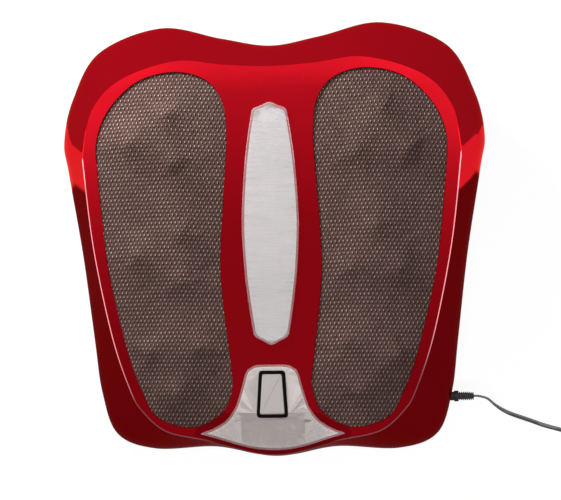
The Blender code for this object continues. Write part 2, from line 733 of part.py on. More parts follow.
def rubber_feet(look):
    """Four feet, one near each corner."""
    profile = ((0, 0), (FOOT_RADIUS - FOOT_BEVEL, 0), (FOOT_RADIUS, FOOT_BEVEL),
               (FOOT_RADIUS, SKIRT_HEIGHT - FIT_GAP), (0, SKIRT_HEIGHT - FIT_GAP))
    for x_name, side in (("left", -1), ("right", 1)):
        x, y = plan_place(CORNER_POST_SHARES[1], side)
        places = {"far": plan_place(FAR_FOOT_SHARES, side),
                  "near": (x - side * NEAR_FOOT_INWARD, y + NEAR_FOOT_AHEAD)}
        for y_name, place in places.items():
            finish_piece(f"{y_name}_{x_name}_foot", lathe(profile, 2 * SHAFT_SEGMENTS), look,
                         Matrix.Translation((*place, 0)))


def base_screws(look):
    """Six screws up through the base plate into the posts."""
    head_top = SKIRT_HEIGHT - FIT_GAP
    tip = head_top + SCREW_LENGTH
    profile = ((0, head_top - SCREW_HEAD_HEIGHT),
               (SCREW_HEAD_RADIUS, head_top - SCREW_HEAD_HEIGHT), (SCREW_HEAD_RADIUS, head_top),
               (SCREW_RADIUS, head_top), (SCREW_RADIUS, tip - SCREW_RADIUS), (0, tip))
    corners, centre = post_places()
    for number, (x, y) in enumerate(corners + centre, 1):
        finish_piece(f"base_screw_{number}", lathe(profile, SHAFT_SEGMENTS), look,
                     Matrix.Translation((x, y, 0)))


# Panels and button

def spine_panel(silver, clear):
    """The long inlay between the feet, under a clear lens with a sloped edge."""
    half = [Vector((x * SPINE_HALF_WIDTH, SPINE_MIDDLE_Y + y * SPINE_LENGTH / 2))
            for x, y in SPINE_SHARES]
    left = [Vector((-p.x, p.y)) for p in half]
    outline = left + half[-2:0:-1]
    inlay_low = -FIT_GAP
    inlay_top = inlay_low - INLAY_THICKNESS
    lens_low = inlay_top - FIT_GAP
    bm = sheet(offset_loop(outline, -SPINE_EDGE), (), below(deck_plane, inlay_top),
               below(deck_plane, inlay_low))
    finish_piece("spine_inlay", bm, silver)
    bm = sheet(outline, (), below(deck_plane, lens_low - LENS_THICKNESS),
               below(deck_plane, lens_low), 0.0, SPINE_EDGE, LENS_EDGE_FALL)
    finish_piece("spine_lens", bm, clear)


def control_layout():
    """The control panel's outline, its guide loops and its inner points."""
    half = [Vector((x * CONTROL_HALF_WIDTH, CONTROL_TOP_Y - y * CONTROL_LENGTH))
            for x, y in CONTROL_SHARES]
    left = [Vector((-p.x, p.y)) for p in half]
    outline = left + half[-2:0:-1]
    hole = bezel_outline(-FIT_GAP)
    guides = [outline, offset_loop(outline, -CONTROL_EDGE_INSET),
              offset_loop(hole, CONTROL_EDGE_INSET)]
    return hole, guides, grid_spots(outline, [hole], guides + [hole], CONTROL_GRID)


def control_panel(look):
    """The bell-shaped inlay round the button, which bends down with the nose."""
    hole, guides, spots = control_layout()
    bm = sheet(guides[0], [hole], below(deck_surface, -FIT_GAP - CONTROL_THICKNESS),
               below(deck_surface, -FIT_GAP), 0.0, 0.0, CONTROL_EDGE_FALL, (guides, spots))
    finish_piece("control_inlay", bm, look)


def power_button(black, silver, board_look, metal):
    """Bezel, sprung button, its switch and the board that carries the switch."""
    bm = sheet(bezel_outline(0), [bezel_outline(BEZEL_WALL)], below(deck_plane, -BEZEL_PROUD),
               below(deck_plane, BEZEL_DEPTH), 0.0, BEZEL_WALL / 4, BEZEL_WALL / 5)
    finish_piece("button_bezel", bm, black)
    bm = sheet(bezel_outline(BEZEL_WALL + FIT_GAP), (), below(deck_plane, -BUTTON_PROUD),
               below(deck_plane, BUTTON_DEPTH), 0.0, BEZEL_WALL / 3, BEZEL_WALL / 6)
    y = BEZEL_TOP_Y - BEZEL_LENGTH / 2
    place = Matrix.Translation((0, y, deck_plane(0, y)))
    bm.transform(place.inverted())
    finish_piece("power_button", bm, silver, place)
    board_top = BEZEL_DEPTH + FIT_GAP
    reach = BEZEL_BOTTOM_HALF + BOARD_MARGIN
    length = BEZEL_LENGTH / 2 + BOARD_MARGIN / 2
    corners = ((-reach, y - length), (reach, y - length), (reach, y + length),
               (-reach, y + length))
    bm = sheet(rounded_loop(corners, BEZEL_CORNER, 2), (), below(deck_plane, board_top),
               below(deck_plane, board_top + BOARD_THICKNESS))
    finish_piece("control_board", bm, board_look)
    half = SWITCH_SIZE / 2
    corners = ((-half, y - half), (half, y - half), (half, y + half), (-half, y + half))
    switch_low = BEZEL_DEPTH
    bm = sheet([Vector(p) for p in corners], (), below(deck_plane, switch_low - SWITCH_HEIGHT),
               below(deck_plane, switch_low))
    finish_piece("power_switch", bm, metal)


# Mesh covers

def head_places():
    """Plan places of the right foot's heads, from toe to heel."""
    toe, heel = Vector(plan_place(TOE_HEAD_SHARES)), Vector(plan_place(HEEL_HEAD_SHARES))
    return toe, heel.lerp(toe, MIDDLE_HEAD_SHARE), heel


def mesh_covers(mesh_look, frame_look):
    """Crowned mesh over each well, clear of the whole sweep of the knobs, and its frame."""
    seat = HOUSING_WALL + FIT_GAP
    peak = KNOB_PEAK + FIT_GAP + MESH_THICKNESS + MESH_RISE
    for name, side in (("left", -1), ("right", 1)):
        well = well_loop(side)
        heads = [Vector((side * p.x, p.y)) for p in head_places()]

        def crown(x, y):
            """Height of the mesh's upper face."""
            low = deck_surface(x, y) - seat
            if not inside((x, y), well):
                return low
            reach = min((Vector((x, y)) - head).length for head in heads)
            dip = VALLEY_DIP * smooth((reach - SWEEP_RADIUS) / VALLEY_FADE)
            rise = min(edge_distance((x, y), well) / MESH_RAMP, 1.0)
            return low + (seat + peak - dip) * rise

        bm = sheet(offset_loop(well, MESH_MARGIN), (), crown,
                   lambda x, y: crown(x, y) - MESH_THICKNESS, MESH_GRID, MESH_MARGIN, 0.0,
                   None, [offset_loop(well, -MESH_RAMP)])
        finish_piece(f"{name}_mesh_cover", bm, mesh_look, sharp=math.pi)
        frame_top = seat + MESH_THICKNESS + FIT_GAP
        bm = sheet(offset_loop(well, FRAME_OUTER), [offset_loop(well, FRAME_INNER)],
                   below(deck_surface, frame_top),
                   below(deck_surface, frame_top + FRAME_THICKNESS))
        finish_piece(f"{name}_mesh_frame", bm, frame_look)


# Mechanism

def deck_frame(place):
    """The matrix from the mechanism's u, v, w to the world, with its zero at the plan place."""
    tilt = Matrix.Rotation(DECK_ANGLE, 4, "X")
    turn = Matrix.Rotation(-ROW_ANGLE, 4, "Z")
    lift = Matrix.Translation((place.x, place.y, deck_plane(place.x, place.y)))
    return lift @ tilt @ turn


def massage_head(name, mirror, place, phase, look):
    """A disc with three round knobs and a hub below, bored for its spindle."""
    bore = SPINDLE_RADIUS + FIT_GAP
    bm = bmesh.new()
    phase = math.pi - phase if mirror else phase
    radii = [DISC_RADIUS * share for share in HEAD_RING_SHARES]
    knobs = [Vector((KNOB_CIRCLE * math.cos(2 * math.pi * k / KNOBS),
                     KNOB_CIRCLE * math.sin(2 * math.pi * k / KNOBS))) for k in range(KNOBS)]
    rings = [raised_ring(bm, bore, DISC_TOP, HEAD_SEGMENTS // 2)]
    for radius in radii:
        ring = []
        for spot in circle_loop((0, 0), radius, HEAD_SEGMENTS):
            reach = min((spot - knob).length for knob in knobs) / KNOB_RADIUS
            rise = KNOB_HEIGHT * math.sqrt(max(1 - reach * reach, 0.0))
            ring.append(bm.verts.new((*spot, DISC_TOP + rise)))
        rings.append(ring)
    rings.append(raised_ring(bm, DISC_RADIUS, DISC_BOTTOM, HEAD_SEGMENTS))
    for radius, height in ((HUB_RADIUS, DISC_BOTTOM), (HUB_RADIUS, HUB_BOTTOM),
                           (bore, HUB_BOTTOM)):
        rings.append(raised_ring(bm, radius, height, HEAD_SEGMENTS // 2))
    for here, there in zip(rings, rings[1:] + rings[:1]):
        stitch(bm, here, there)
    bm.transform(Matrix.Rotation(phase + ROW_ANGLE, 4, "Z"))
    finish_piece(name, bm, look, deck_frame(place), mirror)


def worm_wheel(name, mirror, place, look):
    """A wheel whose slanted teeth face the worm with a gap at its middle."""
    step = 2 * math.pi / WHEEL_TEETH
    slant = MODULE / (2 * WORM_RADIUS) / WHEEL_RADIUS
    tip, root = WHEEL_RADIUS + ADDENDUM, WHEEL_RADIUS - DEDENDUM + FIT_GAP
    teeth = []
    for tooth in range(WHEEL_TEETH):
        middle = math.pi + (tooth + 0.5) * step
        for radius, share in ((root, -TOOTH_ROOT_SHARE), (tip, -TOOTH_TIP_SHARE),
                              (tip, TOOTH_TIP_SHARE), (root, TOOTH_ROOT_SHARE)):
            angle = middle + share * step / 2
            teeth.append(Vector((radius * math.cos(angle), radius * math.sin(angle))))
    bore = circle_loop((0, 0), SPINDLE_RADIUS + FIT_GAP, ROUND_SEGMENTS)
    bm = sheet(teeth, [bore], level(WHEEL_TOP), level(WHEEL_BOTTOM))
    for vert in bm.verts:
        turn = Matrix.Rotation(slant * (vert.co.z - WORM_LEVEL), 4, "Z")
        vert.co = turn @ vert.co
    finish_piece(name, bm, look, deck_frame(place), mirror, sharp=math.radians(25))


def worm_thread(v):
    """One thread, swept along its helix round the shaft, with a crest facing the wheel at v."""
    bm = bmesh.new()
    root = SHAFT_RADIUS - 4 * FIT_GAP
    tip = WORM_RADIUS + ADDENDUM
    half_root = TOOTH_ROOT_SHARE * AXIAL_PITCH / 2
    half_tip = TOOTH_TIP_SHARE * AXIAL_PITCH / 2
    sections = []
    for step in range(-round(WORM_TURNS * WORM_STEPS / 2),
                      round(WORM_TURNS * WORM_STEPS / 2) + 1):
        angle = math.pi / 2 + 2 * math.pi * step / WORM_STEPS
        along = v + AXIAL_PITCH * step / WORM_STEPS
        sections.append([
            bm.verts.new((radius * math.sin(angle), along + shift, radius * math.cos(angle)))
            for radius, shift in ((root, -half_root), (tip, -half_tip), (tip, half_tip),
                                  (root, half_root))])
    for here, there in zip(sections, sections[1:]):
        for k in range(4):
            j = (k + 1) % 4
            bm.faces.new((here[k], here[j], there[j], there[k]))
    bm.faces.new(sections[0])
    bm.faces.new(sections[-1])
    return bm


def row_stations():
    """Places along v of the toe, arch and heel heads, from the toe head."""
    return (0.0, -(1 - MIDDLE_HEAD_SHARE) * HEAD_ROW_LENGTH, -HEAD_ROW_LENGTH)


def worm_shaft(name, mirror, look):
    """The shaft from the near bush to the motor, with a worm beside each wheel."""
    near = NEAR_BULKHEAD_V - BULKHEAD_THICKNESS / 2 - BUSH_FLANGE
    far = MOTOR_FACE_V
    bm = lathe(((0, near), (SHAFT_RADIUS, near), (SHAFT_RADIUS, far), (0, far)),
               SHAFT_SEGMENTS, "Y")
    bm.transform(Matrix.Rotation(math.pi / SHAFT_SEGMENTS / 2, 4, "Y"))
    bm = combine(name, bm, [worm_thread(v) for v in row_stations()], "UNION")
    shift = Matrix.Translation((-CENTRE_DISTANCE, 0, WORM_LEVEL))
    finish_piece(name, bm, look, deck_frame(head_places()[0]) @ shift, mirror,
                 sharp=math.radians(25))


def spindle(name, mirror, place, look):
    """The fixed pin on which a head and its wheel turn, held down by its cap."""
    low = TRAY_BOTTOM
    cap = DISC_TOP + FIT_GAP
    bm = lathe(((0, low), (SPINDLE_RADIUS, low), (SPINDLE_RADIUS, cap),
                (SPINDLE_CAP_RADIUS, cap), (SPINDLE_CAP_RADIUS, cap + SPINDLE_CAP_HEIGHT),
                (0, cap + SPINDLE_CAP_HEIGHT)), SHAFT_SEGMENTS)
    finish_piece(name, bm, look, deck_frame(place), mirror)


def tray_leg(u, v):
    """A leg under the tray, upright in the world, that stands on the base plate."""
    frame = deck_frame(head_places()[0])
    spot = frame @ Vector((u, v, TRAY_BOTTOM + TRAY_THICKNESS / 2))
    bottom = BASE_TOP + FIT_GAP
    return box((LEG_WIDTH, LEG_WIDTH, spot.z - bottom), (spot.x, spot.y, (spot.z + bottom) / 2))


def chassis(name, mirror, look):
    """The tray: spindle bosses, a bulkhead at each end of the shaft and four legs."""
    frame = deck_frame(head_places()[0])
    near, far = NEAR_BULKHEAD_V, FAR_BULKHEAD_V
    overhang = BULKHEAD_THICKNESS / 2 + TRAY_LIP
    corners = ((-TRAY_INNER, near - overhang), (TRAY_OUTER, near - overhang),
               (TRAY_OUTER, far + overhang), (-TRAY_INNER, far + overhang))
    sockets = [circle_loop((0, v), BOSS_SOCKET_RADIUS, SHAFT_SEGMENTS)
               for v in row_stations()]
    bm = sheet([Vector(c) for c in corners], sockets, level(TRAY_TOP), level(TRAY_BOTTOM))
    parts = []
    boss_top = WHEEL_BOTTOM - FIT_GAP
    boss_low = TRAY_TOP - TRAY_THICKNESS / 2
    bore = SPINDLE_RADIUS + FIT_GAP
    for v in row_stations():
        boss = lathe(((bore, boss_low), (BOSS_RADIUS, boss_low), (BOSS_RADIUS, boss_top),
                      (bore, boss_top)), SHAFT_SEGMENTS)
        boss.transform(Matrix.Translation((0, v, 0)))
        parts.append(boss)
    wall_low = boss_low
    wall_width = 2 * (TRAY_INNER - TRAY_LIP - CENTRE_DISTANCE)
    for v, rise in ((near, NEAR_BULKHEAD_RISE), (far, FAR_BULKHEAD_RISE)):
        wall_top = WORM_LEVEL + rise
        size = (wall_width, BULKHEAD_THICKNESS, wall_top - wall_low)
        parts.append(box(size, (-CENTRE_DISTANCE, v, (wall_low + wall_top) / 2)))
    bm = combine(name, bm, parts, "UNION")
    cuts = []
    hole = BUSH_BORE + BUSH_WALL + FIT_GAP
    for v, radius, segments in ((near, hole, SHAFT_SEGMENTS),
                                (far, MOTOR_COLLAR_RADIUS + FIT_GAP, ROUND_SEGMENTS)):
        reach = BULKHEAD_THICKNESS / 2 + CUT_OVERRUN
        cut = lathe(((0, v - reach), (radius, v - reach), (radius, v + reach), (0, v + reach)),
                    segments, "Y")
        cut.transform(Matrix.Translation((-CENTRE_DISTANCE, 0, WORM_LEVEL)))
        cuts.append(cut)
    bm = combine(name, bm, cuts, "DIFFERENCE")
    bm.transform(frame)
    leg_inset = LEG_WIDTH / 2 + 2 * TRAY_LIP
    legs = [tray_leg(u, v) for u in (-TRAY_INNER + leg_inset, TRAY_OUTER - leg_inset)
            for v in (near + leg_inset, far - leg_inset)]
    bm = combine(name, bm, legs, "UNION")
    finish_piece(name, bm, look, None, mirror)


def shaft_bush(name, mirror, look):
    """The flanged bush in the near bulkhead."""
    inner = BUSH_BORE
    outer = inner + BUSH_WALL
    half = BULKHEAD_THICKNESS / 2 + FIT_GAP
    bm = lathe(((inner, -half), (outer, -half), (outer, half), (outer + BUSH_FLANGE, half),
                (outer + BUSH_FLANGE, half + BUSH_FLANGE), (inner, half + BUSH_FLANGE)),
               SHAFT_SEGMENTS, "Y")
    shift = Matrix.Translation((-CENTRE_DISTANCE, NEAR_BULKHEAD_V, WORM_LEVEL))
    finish_piece(name, bm, look, deck_frame(head_places()[0]) @ shift, mirror)


def motor(name, mirror, look):
    """The motor, whose collar sits in the far bulkhead."""
    face = MOTOR_FACE_V
    start = face - MOTOR_COLLAR_LENGTH
    bore = SHAFT_RADIUS + FIT_GAP
    blind = face + 2 * FIT_GAP
    bm = lathe(((0, blind), (bore, blind), (bore, start), (MOTOR_COLLAR_RADIUS, start),
                (MOTOR_COLLAR_RADIUS, face), (MOTOR_RADIUS, face),
                (MOTOR_RADIUS, face + MOTOR_LENGTH), (0, face + MOTOR_LENGTH)),
               ROUND_SEGMENTS, "Y")
    shift = Matrix.Translation((-CENTRE_DISTANCE, 0, WORM_LEVEL))
    finish_piece(name, bm, look, deck_frame(head_places()[0]) @ shift, mirror)


def infrared_heater(name, mirror, look):
    """A lamp cup on the tray, between the toe and arch heads."""
    low = TRAY_TOP + FIT_GAP
    stem = low + HEATER_STEM_HEIGHT
    top = low + HEATER_HEIGHT
    bm = lathe(((0, low), (HEATER_STEM_RADIUS, low), (HEATER_STEM_RADIUS, stem),
                (HEATER_RADIUS, top), (HEATER_RADIUS - HEATER_WALL, top),
                (HEATER_STEM_RADIUS - HEATER_WALL, stem + HEATER_WALL),
                (0, stem + HEATER_WALL)), ROUND_SEGMENTS)
    shift = Matrix.Translation((0, -HEATER_SHARE * HEAD_ROW_LENGTH, 0))
    finish_piece(name, bm, look, deck_frame(head_places()[0]) @ shift, mirror)


def mechanism(looks):
    """Both feet's drives, the left one being the mirror of the right."""
    for side, mirror, phases in (("right", False, RIGHT_PHASES), ("left", True, LEFT_PHASES)):
        for head, place, phase in zip(HEAD_NAMES, head_places(), phases):
            massage_head(f"{side}_{head}_head", mirror, place, phase, looks["knob"])
            worm_wheel(f"{side}_{head}_wheel", mirror, place, looks["gear"])
            spindle(f"{side}_{head}_spindle", mirror, place, looks["steel"])
        worm_shaft(f"{side}_worm_shaft", mirror, looks["steel"])
        chassis(f"{side}_chassis", mirror, looks["inner"])
        shaft_bush(f"{side}_shaft_bush", mirror, looks["brass"])
        motor(f"{side}_motor", mirror, looks["steel"])
        infrared_heater(f"{side}_infrared_heater", mirror, looks["brass"])


# Lead

def tube(name, points, look, resolution):
    """A round cord along the points."""
    curve = bpy.data.curves.new(name, "CURVE")
    curve.dimensions = "3D"
    curve.bevel_depth = CORD_RADIUS
    curve.bevel_resolution = resolution
    curve.use_fill_caps = True
    spline = curve.splines.new("POLY")
    spline.points.add(len(points) - 1)
    for slot, point in zip(spline.points, points):
        slot.co = (*point, 1)
    curve.materials.append(look)
    bpy.context.scene.collection.objects.link(bpy.data.objects.new(name, curve))


def even_run(points, step):
    """The curve through the points, as points about one step apart."""
    fine = catmull_rom(points, 16)
    lengths = [0.0]
    for a, b in zip(fine, fine[1:]):
        lengths.append(lengths[-1] + (b - a).length)
    count = max(round(lengths[-1] / step), 2)
    run, k = [], 0
    for i in range(count + 1):
        goal = lengths[-1] * i / count
        while k < len(fine) - 2 and lengths[k + 1] < goal:
            k += 1
        share = (goal - lengths[k]) / (lengths[k + 1] - lengths[k])
        run.append(fine[k].lerp(fine[k + 1], share))
    return run


def strain_relief(look):
    """The collar at the wall, its neck through it and the ribbed sleeve round the cord."""
    profile = [(0, -NECK_LENGTH), (NECK_RADIUS, -NECK_LENGTH), (NECK_RADIUS, 0),
               (COLLAR_RADIUS, 0), (COLLAR_RADIUS, COLLAR_LENGTH)]
    length = (SLEEVE_LENGTH - COLLAR_LENGTH) / SLEEVE_RIBS
    for rib in range(SLEEVE_RIBS):
        share = rib / (SLEEVE_RIBS - 1)
        radius = SLEEVE_ROOT_RADIUS + (SLEEVE_TIP_RADIUS - SLEEVE_ROOT_RADIUS) * share
        start = COLLAR_LENGTH + length * rib
        profile += [(radius - SLEEVE_GROOVE, start), (radius, start + length)]
    profile.append((0, SLEEVE_LENGTH))
    finish_piece("strain_relief", lathe(profile, ROUND_SEGMENTS, "X"), look,
                 Matrix.Translation((RELIEF_X, RELIEF_Y, RELIEF_Z)))


def coil_points():
    """Path of the coil: it spirals in, climbs a layer where it turns, and spirals out."""
    turn = 2 * math.pi
    points = []
    total = 2 * COIL_TURNS * COIL_LOOP_POINTS
    for i in range(total + 1):
        from_turn = turn * (i / COIL_LOOP_POINTS - COIL_TURNS)
        radius = COIL_INNER_RADIUS + COIL_PITCH * abs(from_turn) / turn
        climb = min(max(from_turn / math.pi + 0.5, 0.0), 1.0)
        angle = from_turn - math.pi / 2 + turn * COIL_TURNS
        points.append(Vector((COIL_X + radius * math.cos(angle),
                              COIL_Y + radius * math.sin(angle),
                              CORD_RADIUS + climb * COIL_PITCH)))
    lead_in = points[0] - Vector((2 * CORD_RADIUS, 0, 0))
    lead_out = points[-1] + Vector((2 * CORD_RADIUS, 0, 0))
    return [lead_in] + points + [lead_out]


def least_self_gap(points):
    """Least gap of the coil's tube to itself, between runs more than half a loop apart."""
    best = math.inf
    for i, a in enumerate(points):
        for j in range(i + COIL_LOOP_POINTS // 2, len(points) - 1):
            run = points[j + 1] - points[j]
            share = min(max((a - points[j]).dot(run) / run.length_squared, 0.0), 1.0)
            best = min(best, (a - points[j] - run * share).length)
    return best - 2 * CORD_RADIUS


def lead(cord_look, adapter_look):
    """The low-voltage lead: free run, coil, tail and wall adapter."""
    strain_relief(cord_look)
    start = Vector((RELIEF_X + SLEEVE_LENGTH + FIT_GAP, RELIEF_Y, RELIEF_Z))
    coil = coil_points()
    gap = Vector((FIT_GAP, 0, 0))
    ahead = Vector((2 * CORD_RADIUS, 0, 0))
    below_relief = Vector((RELIEF_X, RELIEF_Y, 0))
    route = [start, start + ahead] + [below_relief + Vector(p) for p in CORD_ROUTE]
    end = coil[0] - gap
    tube("cord_lead", even_run(route + [end - ahead, end], CORD_STEP), cord_look, 2)
    tube("cord_coil", coil, cord_look, 1)
    print("least gap of the coil to itself: %.5f" % least_self_gap(coil))
    boot_y = ADAPTER_Y - ADAPTER_LENGTH / 2 - ADAPTER_BOOT_LENGTH
    boot = Vector((ADAPTER_X, boot_y - FIT_GAP, ADAPTER_HEIGHT / 2))
    tail_start = coil[-1] + gap
    up = Vector((0, 2 * CORD_RADIUS, 0))
    bend = Vector((ADAPTER_X, (tail_start.y + boot.y) / 2, (tail_start.z + boot.z) / 2))
    tube("cord_tail", even_run([tail_start, tail_start + ahead, bend, boot - up, boot],
                               CORD_STEP), cord_look, 2)
    wall_adapter(adapter_look)


def wall_adapter(look):
    """The adapter's body with its cord boot and two flat pins."""
    bm = box((ADAPTER_WIDTH, ADAPTER_LENGTH, ADAPTER_HEIGHT),
             (ADAPTER_X, ADAPTER_Y, ADAPTER_HEIGHT / 2))
    bmesh.ops.bevel(bm, geom=bm.edges, offset=ADAPTER_BEVEL, segments=2, affect="EDGES",
                    profile=0.5)
    face = ADAPTER_Y - ADAPTER_LENGTH / 2
    reach = face + ADAPTER_BEVEL
    boot = lathe(((0, face - ADAPTER_BOOT_LENGTH),
                  (ADAPTER_BOOT_RADIUS - SLEEVE_GROOVE, face - ADAPTER_BOOT_LENGTH),
                  (ADAPTER_BOOT_RADIUS, reach), (0, reach)), SHAFT_SEGMENTS, "Y")
    boot.transform(Matrix.Translation((ADAPTER_X, 0, ADAPTER_HEIGHT / 2)))
    parts = [boot]
    far = ADAPTER_Y + ADAPTER_LENGTH / 2
    for side in (-1, 1):
        centre = (ADAPTER_X + side * PIN_SPACING / 2, far + (PIN_LENGTH - ADAPTER_BEVEL) / 2,
                  ADAPTER_HEIGHT / 2)
        parts.append(box((PIN_THICKNESS, PIN_LENGTH + ADAPTER_BEVEL, PIN_WIDTH), centre))
    bm = combine("wall_adapter", bm, parts, "UNION")
    finish_piece("wall_adapter", bm, look)


def main():
    """Build every piece."""
    for old in list(bpy.data.objects):
        bpy.data.objects.remove(old)
    red = material("red_gloss", (0.36, 0.004, 0.012), 0.18, 0.35)
    silver = material("silver_panel", (0.62, 0.61, 0.62), 0.35, 0.4)
    black = material("black_gloss", (0.012, 0.008, 0.008), 0.25)
    rubber = material("rubber", (0.03, 0.03, 0.03), 0.85)
    body_shell(red)
    top_cover(red)
    base_plate(material("base_red", (0.16, 0.004, 0.008), 0.5))
    rubber_feet(rubber)
    base_screws(material("steel", (0.45, 0.45, 0.46), 0.3, 1.0))
    spine_panel(silver, material("clear_lens", (0.9, 0.75, 0.76), 0.08, 0.0, 0.35))
    control_panel(silver)
    power_button(black, silver, material("board", (0.02, 0.10, 0.04), 0.6), black)
    mesh_covers(material("brown_mesh", (0.11, 0.075, 0.068), 0.8),
                material("inner_black", (0.03, 0.03, 0.032), 0.6))
    mechanism({"knob": material("knob", (0.25, 0.10, 0.06), 0.4),
               "gear": material("gear", (0.70, 0.68, 0.62), 0.5),
               "steel": material("steel", (0.45, 0.45, 0.46), 0.3, 1.0),
               "inner": material("inner_black", (0.03, 0.03, 0.032), 0.6),
               "brass": material("brass", (0.60, 0.45, 0.18), 0.35, 1.0)})
    lead(material("cord_grey", (0.20, 0.20, 0.21), 0.6),
         material("adapter_black", (0.02, 0.02, 0.02), 0.5))


if __name__ == "__main__":
    main()
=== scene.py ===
"""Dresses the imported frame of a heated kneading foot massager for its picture.

The user sits on the -Y side, and the deck falls towards them. Lengths are in metres.
"""

from __future__ import annotations

import logging
import math
from dataclasses import dataclass, field
from enum import Enum
from typing import Callable, Iterable, Sequence

import bmesh
import bpy
from bmesh.types import BMEdge, BMesh, BMFace, BMVert
from mathutils import Matrix, Vector
from mathutils.geometry import intersect_point_line
from mathutils.kdtree import KDTree

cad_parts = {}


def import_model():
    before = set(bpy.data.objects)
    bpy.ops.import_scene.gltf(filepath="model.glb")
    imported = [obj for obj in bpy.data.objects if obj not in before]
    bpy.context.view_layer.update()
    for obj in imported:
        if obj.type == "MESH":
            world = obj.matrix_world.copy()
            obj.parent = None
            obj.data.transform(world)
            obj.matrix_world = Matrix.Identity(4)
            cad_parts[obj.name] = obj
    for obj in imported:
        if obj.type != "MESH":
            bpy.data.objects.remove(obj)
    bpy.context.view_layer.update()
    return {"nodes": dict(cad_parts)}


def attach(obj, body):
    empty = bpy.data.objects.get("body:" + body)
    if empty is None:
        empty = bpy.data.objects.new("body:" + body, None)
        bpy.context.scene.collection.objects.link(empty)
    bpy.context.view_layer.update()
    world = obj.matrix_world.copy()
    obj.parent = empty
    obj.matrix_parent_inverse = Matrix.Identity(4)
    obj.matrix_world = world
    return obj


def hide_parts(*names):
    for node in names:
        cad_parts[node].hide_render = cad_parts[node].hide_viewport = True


log = logging.getLogger("foot_massager")

Height = Callable[[float, float], float]
Points = Sequence[Vector]
Colour = tuple[float, float, float]

WELD = 1e-6
ASIDE, AHEAD, UP = Vector((1, 0, 0)), Vector((0, 1, 0)), Vector((0, 0, 1))
WHITE = (1.0, 1.0, 1.0, 1.0)


class Side(Enum):
    """The user's left or right foot, with the sign of its x."""

    LEFT = -1
    RIGHT = 1

    @property
    def word(self) -> str:
        """The side's name in lower case."""
        return self.name.lower()


class Axis(Enum):
    """The direction that brushed streaks run in."""

    Y = (0.03, 1.0, 1.0)
    Z = (1.0, 1.0, 0.03)


# Curves


def ease(t: float) -> float:
    """Smooth step from 0 to 1."""
    t = min(max(t, 0.0), 1.0)
    return t * t * (3 - 2 * t)


def flowing(points: Iterable[Sequence[float]], steps: int, closed: bool) -> list[Vector]:
    """Draws one smooth curve through the points.

    Args:
        points: Places that the curve goes through.
        steps: Number of parts between two neighbours.
        closed: Whether the curve comes back to its first point.

    Returns:
        The curve's points in order.
    """
    knots = [Vector(p) for p in points]
    count = len(knots)
    curve = []
    for i in range(count if closed else count - 1):
        if closed:
            a, b, c, d = (knots[(i + k) % count] for k in (-1, 0, 1, 2))
        else:
            a, b = knots[max(i - 1, 0)], knots[i]
            c, d = knots[i + 1], knots[min(i + 2, count - 1)]
        for step in range(steps):
            t = step / steps
            curve.append(0.5 * (2 * b + (c - a) * t + (2 * a - 5 * b + 4 * c - d) * t * t
                                + (3 * b - a - 3 * c + d) * t ** 3))
    if not closed:
        curve.append(knots[-1])
    return curve


def mirrored(shares: tuple, half: float, top: float, length: float, steps: int
             ) -> list[Vector]:
    """A mirrored outline whose shares run down one side from the top.

    Args:
        shares: Pairs of a share of the half width and a share of the length.
        half: The half width.
        top: y where the length's share is 0.
        length: Length for a share of 1, downwards where it is positive.
        steps: Number of parts between two shares.

    Returns:
        A smooth anticlockwise loop.
    """
    right = [Vector((x * half, top - y * length)) for x, y in shares]
    left = [Vector((-p.x, p.y)) for p in right]
    return flowing(left + right[-2:0:-1], steps, True)


def even(points: Points, count: int, closed: bool) -> list[Vector]:
    """Spaces points evenly along a curve.

    Args:
        points: The curve.
        count: Number of points wanted.
        closed: Whether the curve is a loop.

    Returns:
        The evenly spaced points.
    """
    line = list(points) + ([points[0]] if closed else [])
    reach = [0.0]
    for a, b in zip(line, line[1:]):
        reach.append(reach[-1] + (b - a).length)
    spaced, k = [], 0
    for i in range(count):
        goal = reach[-1] * i / (count if closed else count - 1)
        while k < len(line) - 2 and reach[k + 1] < goal:
            k += 1
        spaced.append(line[k].lerp(line[k + 1], (goal - reach[k]) / (reach[k + 1] - reach[k])))
    return spaced


def moved_out(loop: Points, distance: float) -> list[Vector]:
    """Moves an anticlockwise loop outwards by the distance, or inwards where it is negative."""
    moved = []
    for i, point in enumerate(loop):
        along = (loop[(i + 1) % len(loop)] - loop[i - 1]).normalized()
        moved.append(point + Vector((along.y, -along.x)) * distance)
    return moved


def drawn_in(loop: Points, distance: float, count: int) -> list[Vector]:
    """Moves a loop inwards and leaves out the parts that would cross.

    Args:
        loop: The anticlockwise loop.
        distance: How far inwards.
        count: Number of points wanted.

    Returns:
        The smaller loop, evenly spaced.
    """
    ends = list(zip(loop, list(loop[1:]) + [loop[0]]))
    least = 0.97 * distance
    clear = []
    for point in moved_out(loop, -distance):
        reach = min((point - intersect_point_line(point, a, b)[0]).length
                    if 0 <= intersect_point_line(point, a, b)[1] <= 1
                    else min((point - a).length, (point - b).length) for a, b in ends)
        if reach > least:
            clear.append(point)
    return even(clear, count, True)


def rounded(corners: Points, radius: float, steps: int) -> list[Vector]:
    """Rounds the corners of a polygon.

    Args:
        corners: The polygon's corners, anticlockwise.
        radius: Radius of each arc.
        steps: Parts in each arc.

    Returns:
        The loop with an arc at each corner.
    """
    loop = []
    for i, corner in enumerate(corners):
        before = (corners[i - 1] - corner).normalized()
        after = (corners[(i + 1) % len(corners)] - corner).normalized()
        half_angle = before.angle(after) / 2
        centre = corner + (before + after).normalized() * (radius / math.sin(half_angle))
        start = corner + before * (radius / math.tan(half_angle)) - centre
        sweep = start.angle_signed(corner + after * (radius / math.tan(half_angle)) - centre)
        for step in range(steps + 1):
            loop.append(centre + Matrix.Rotation(-sweep * step / steps, 2) @ start)
    return loop


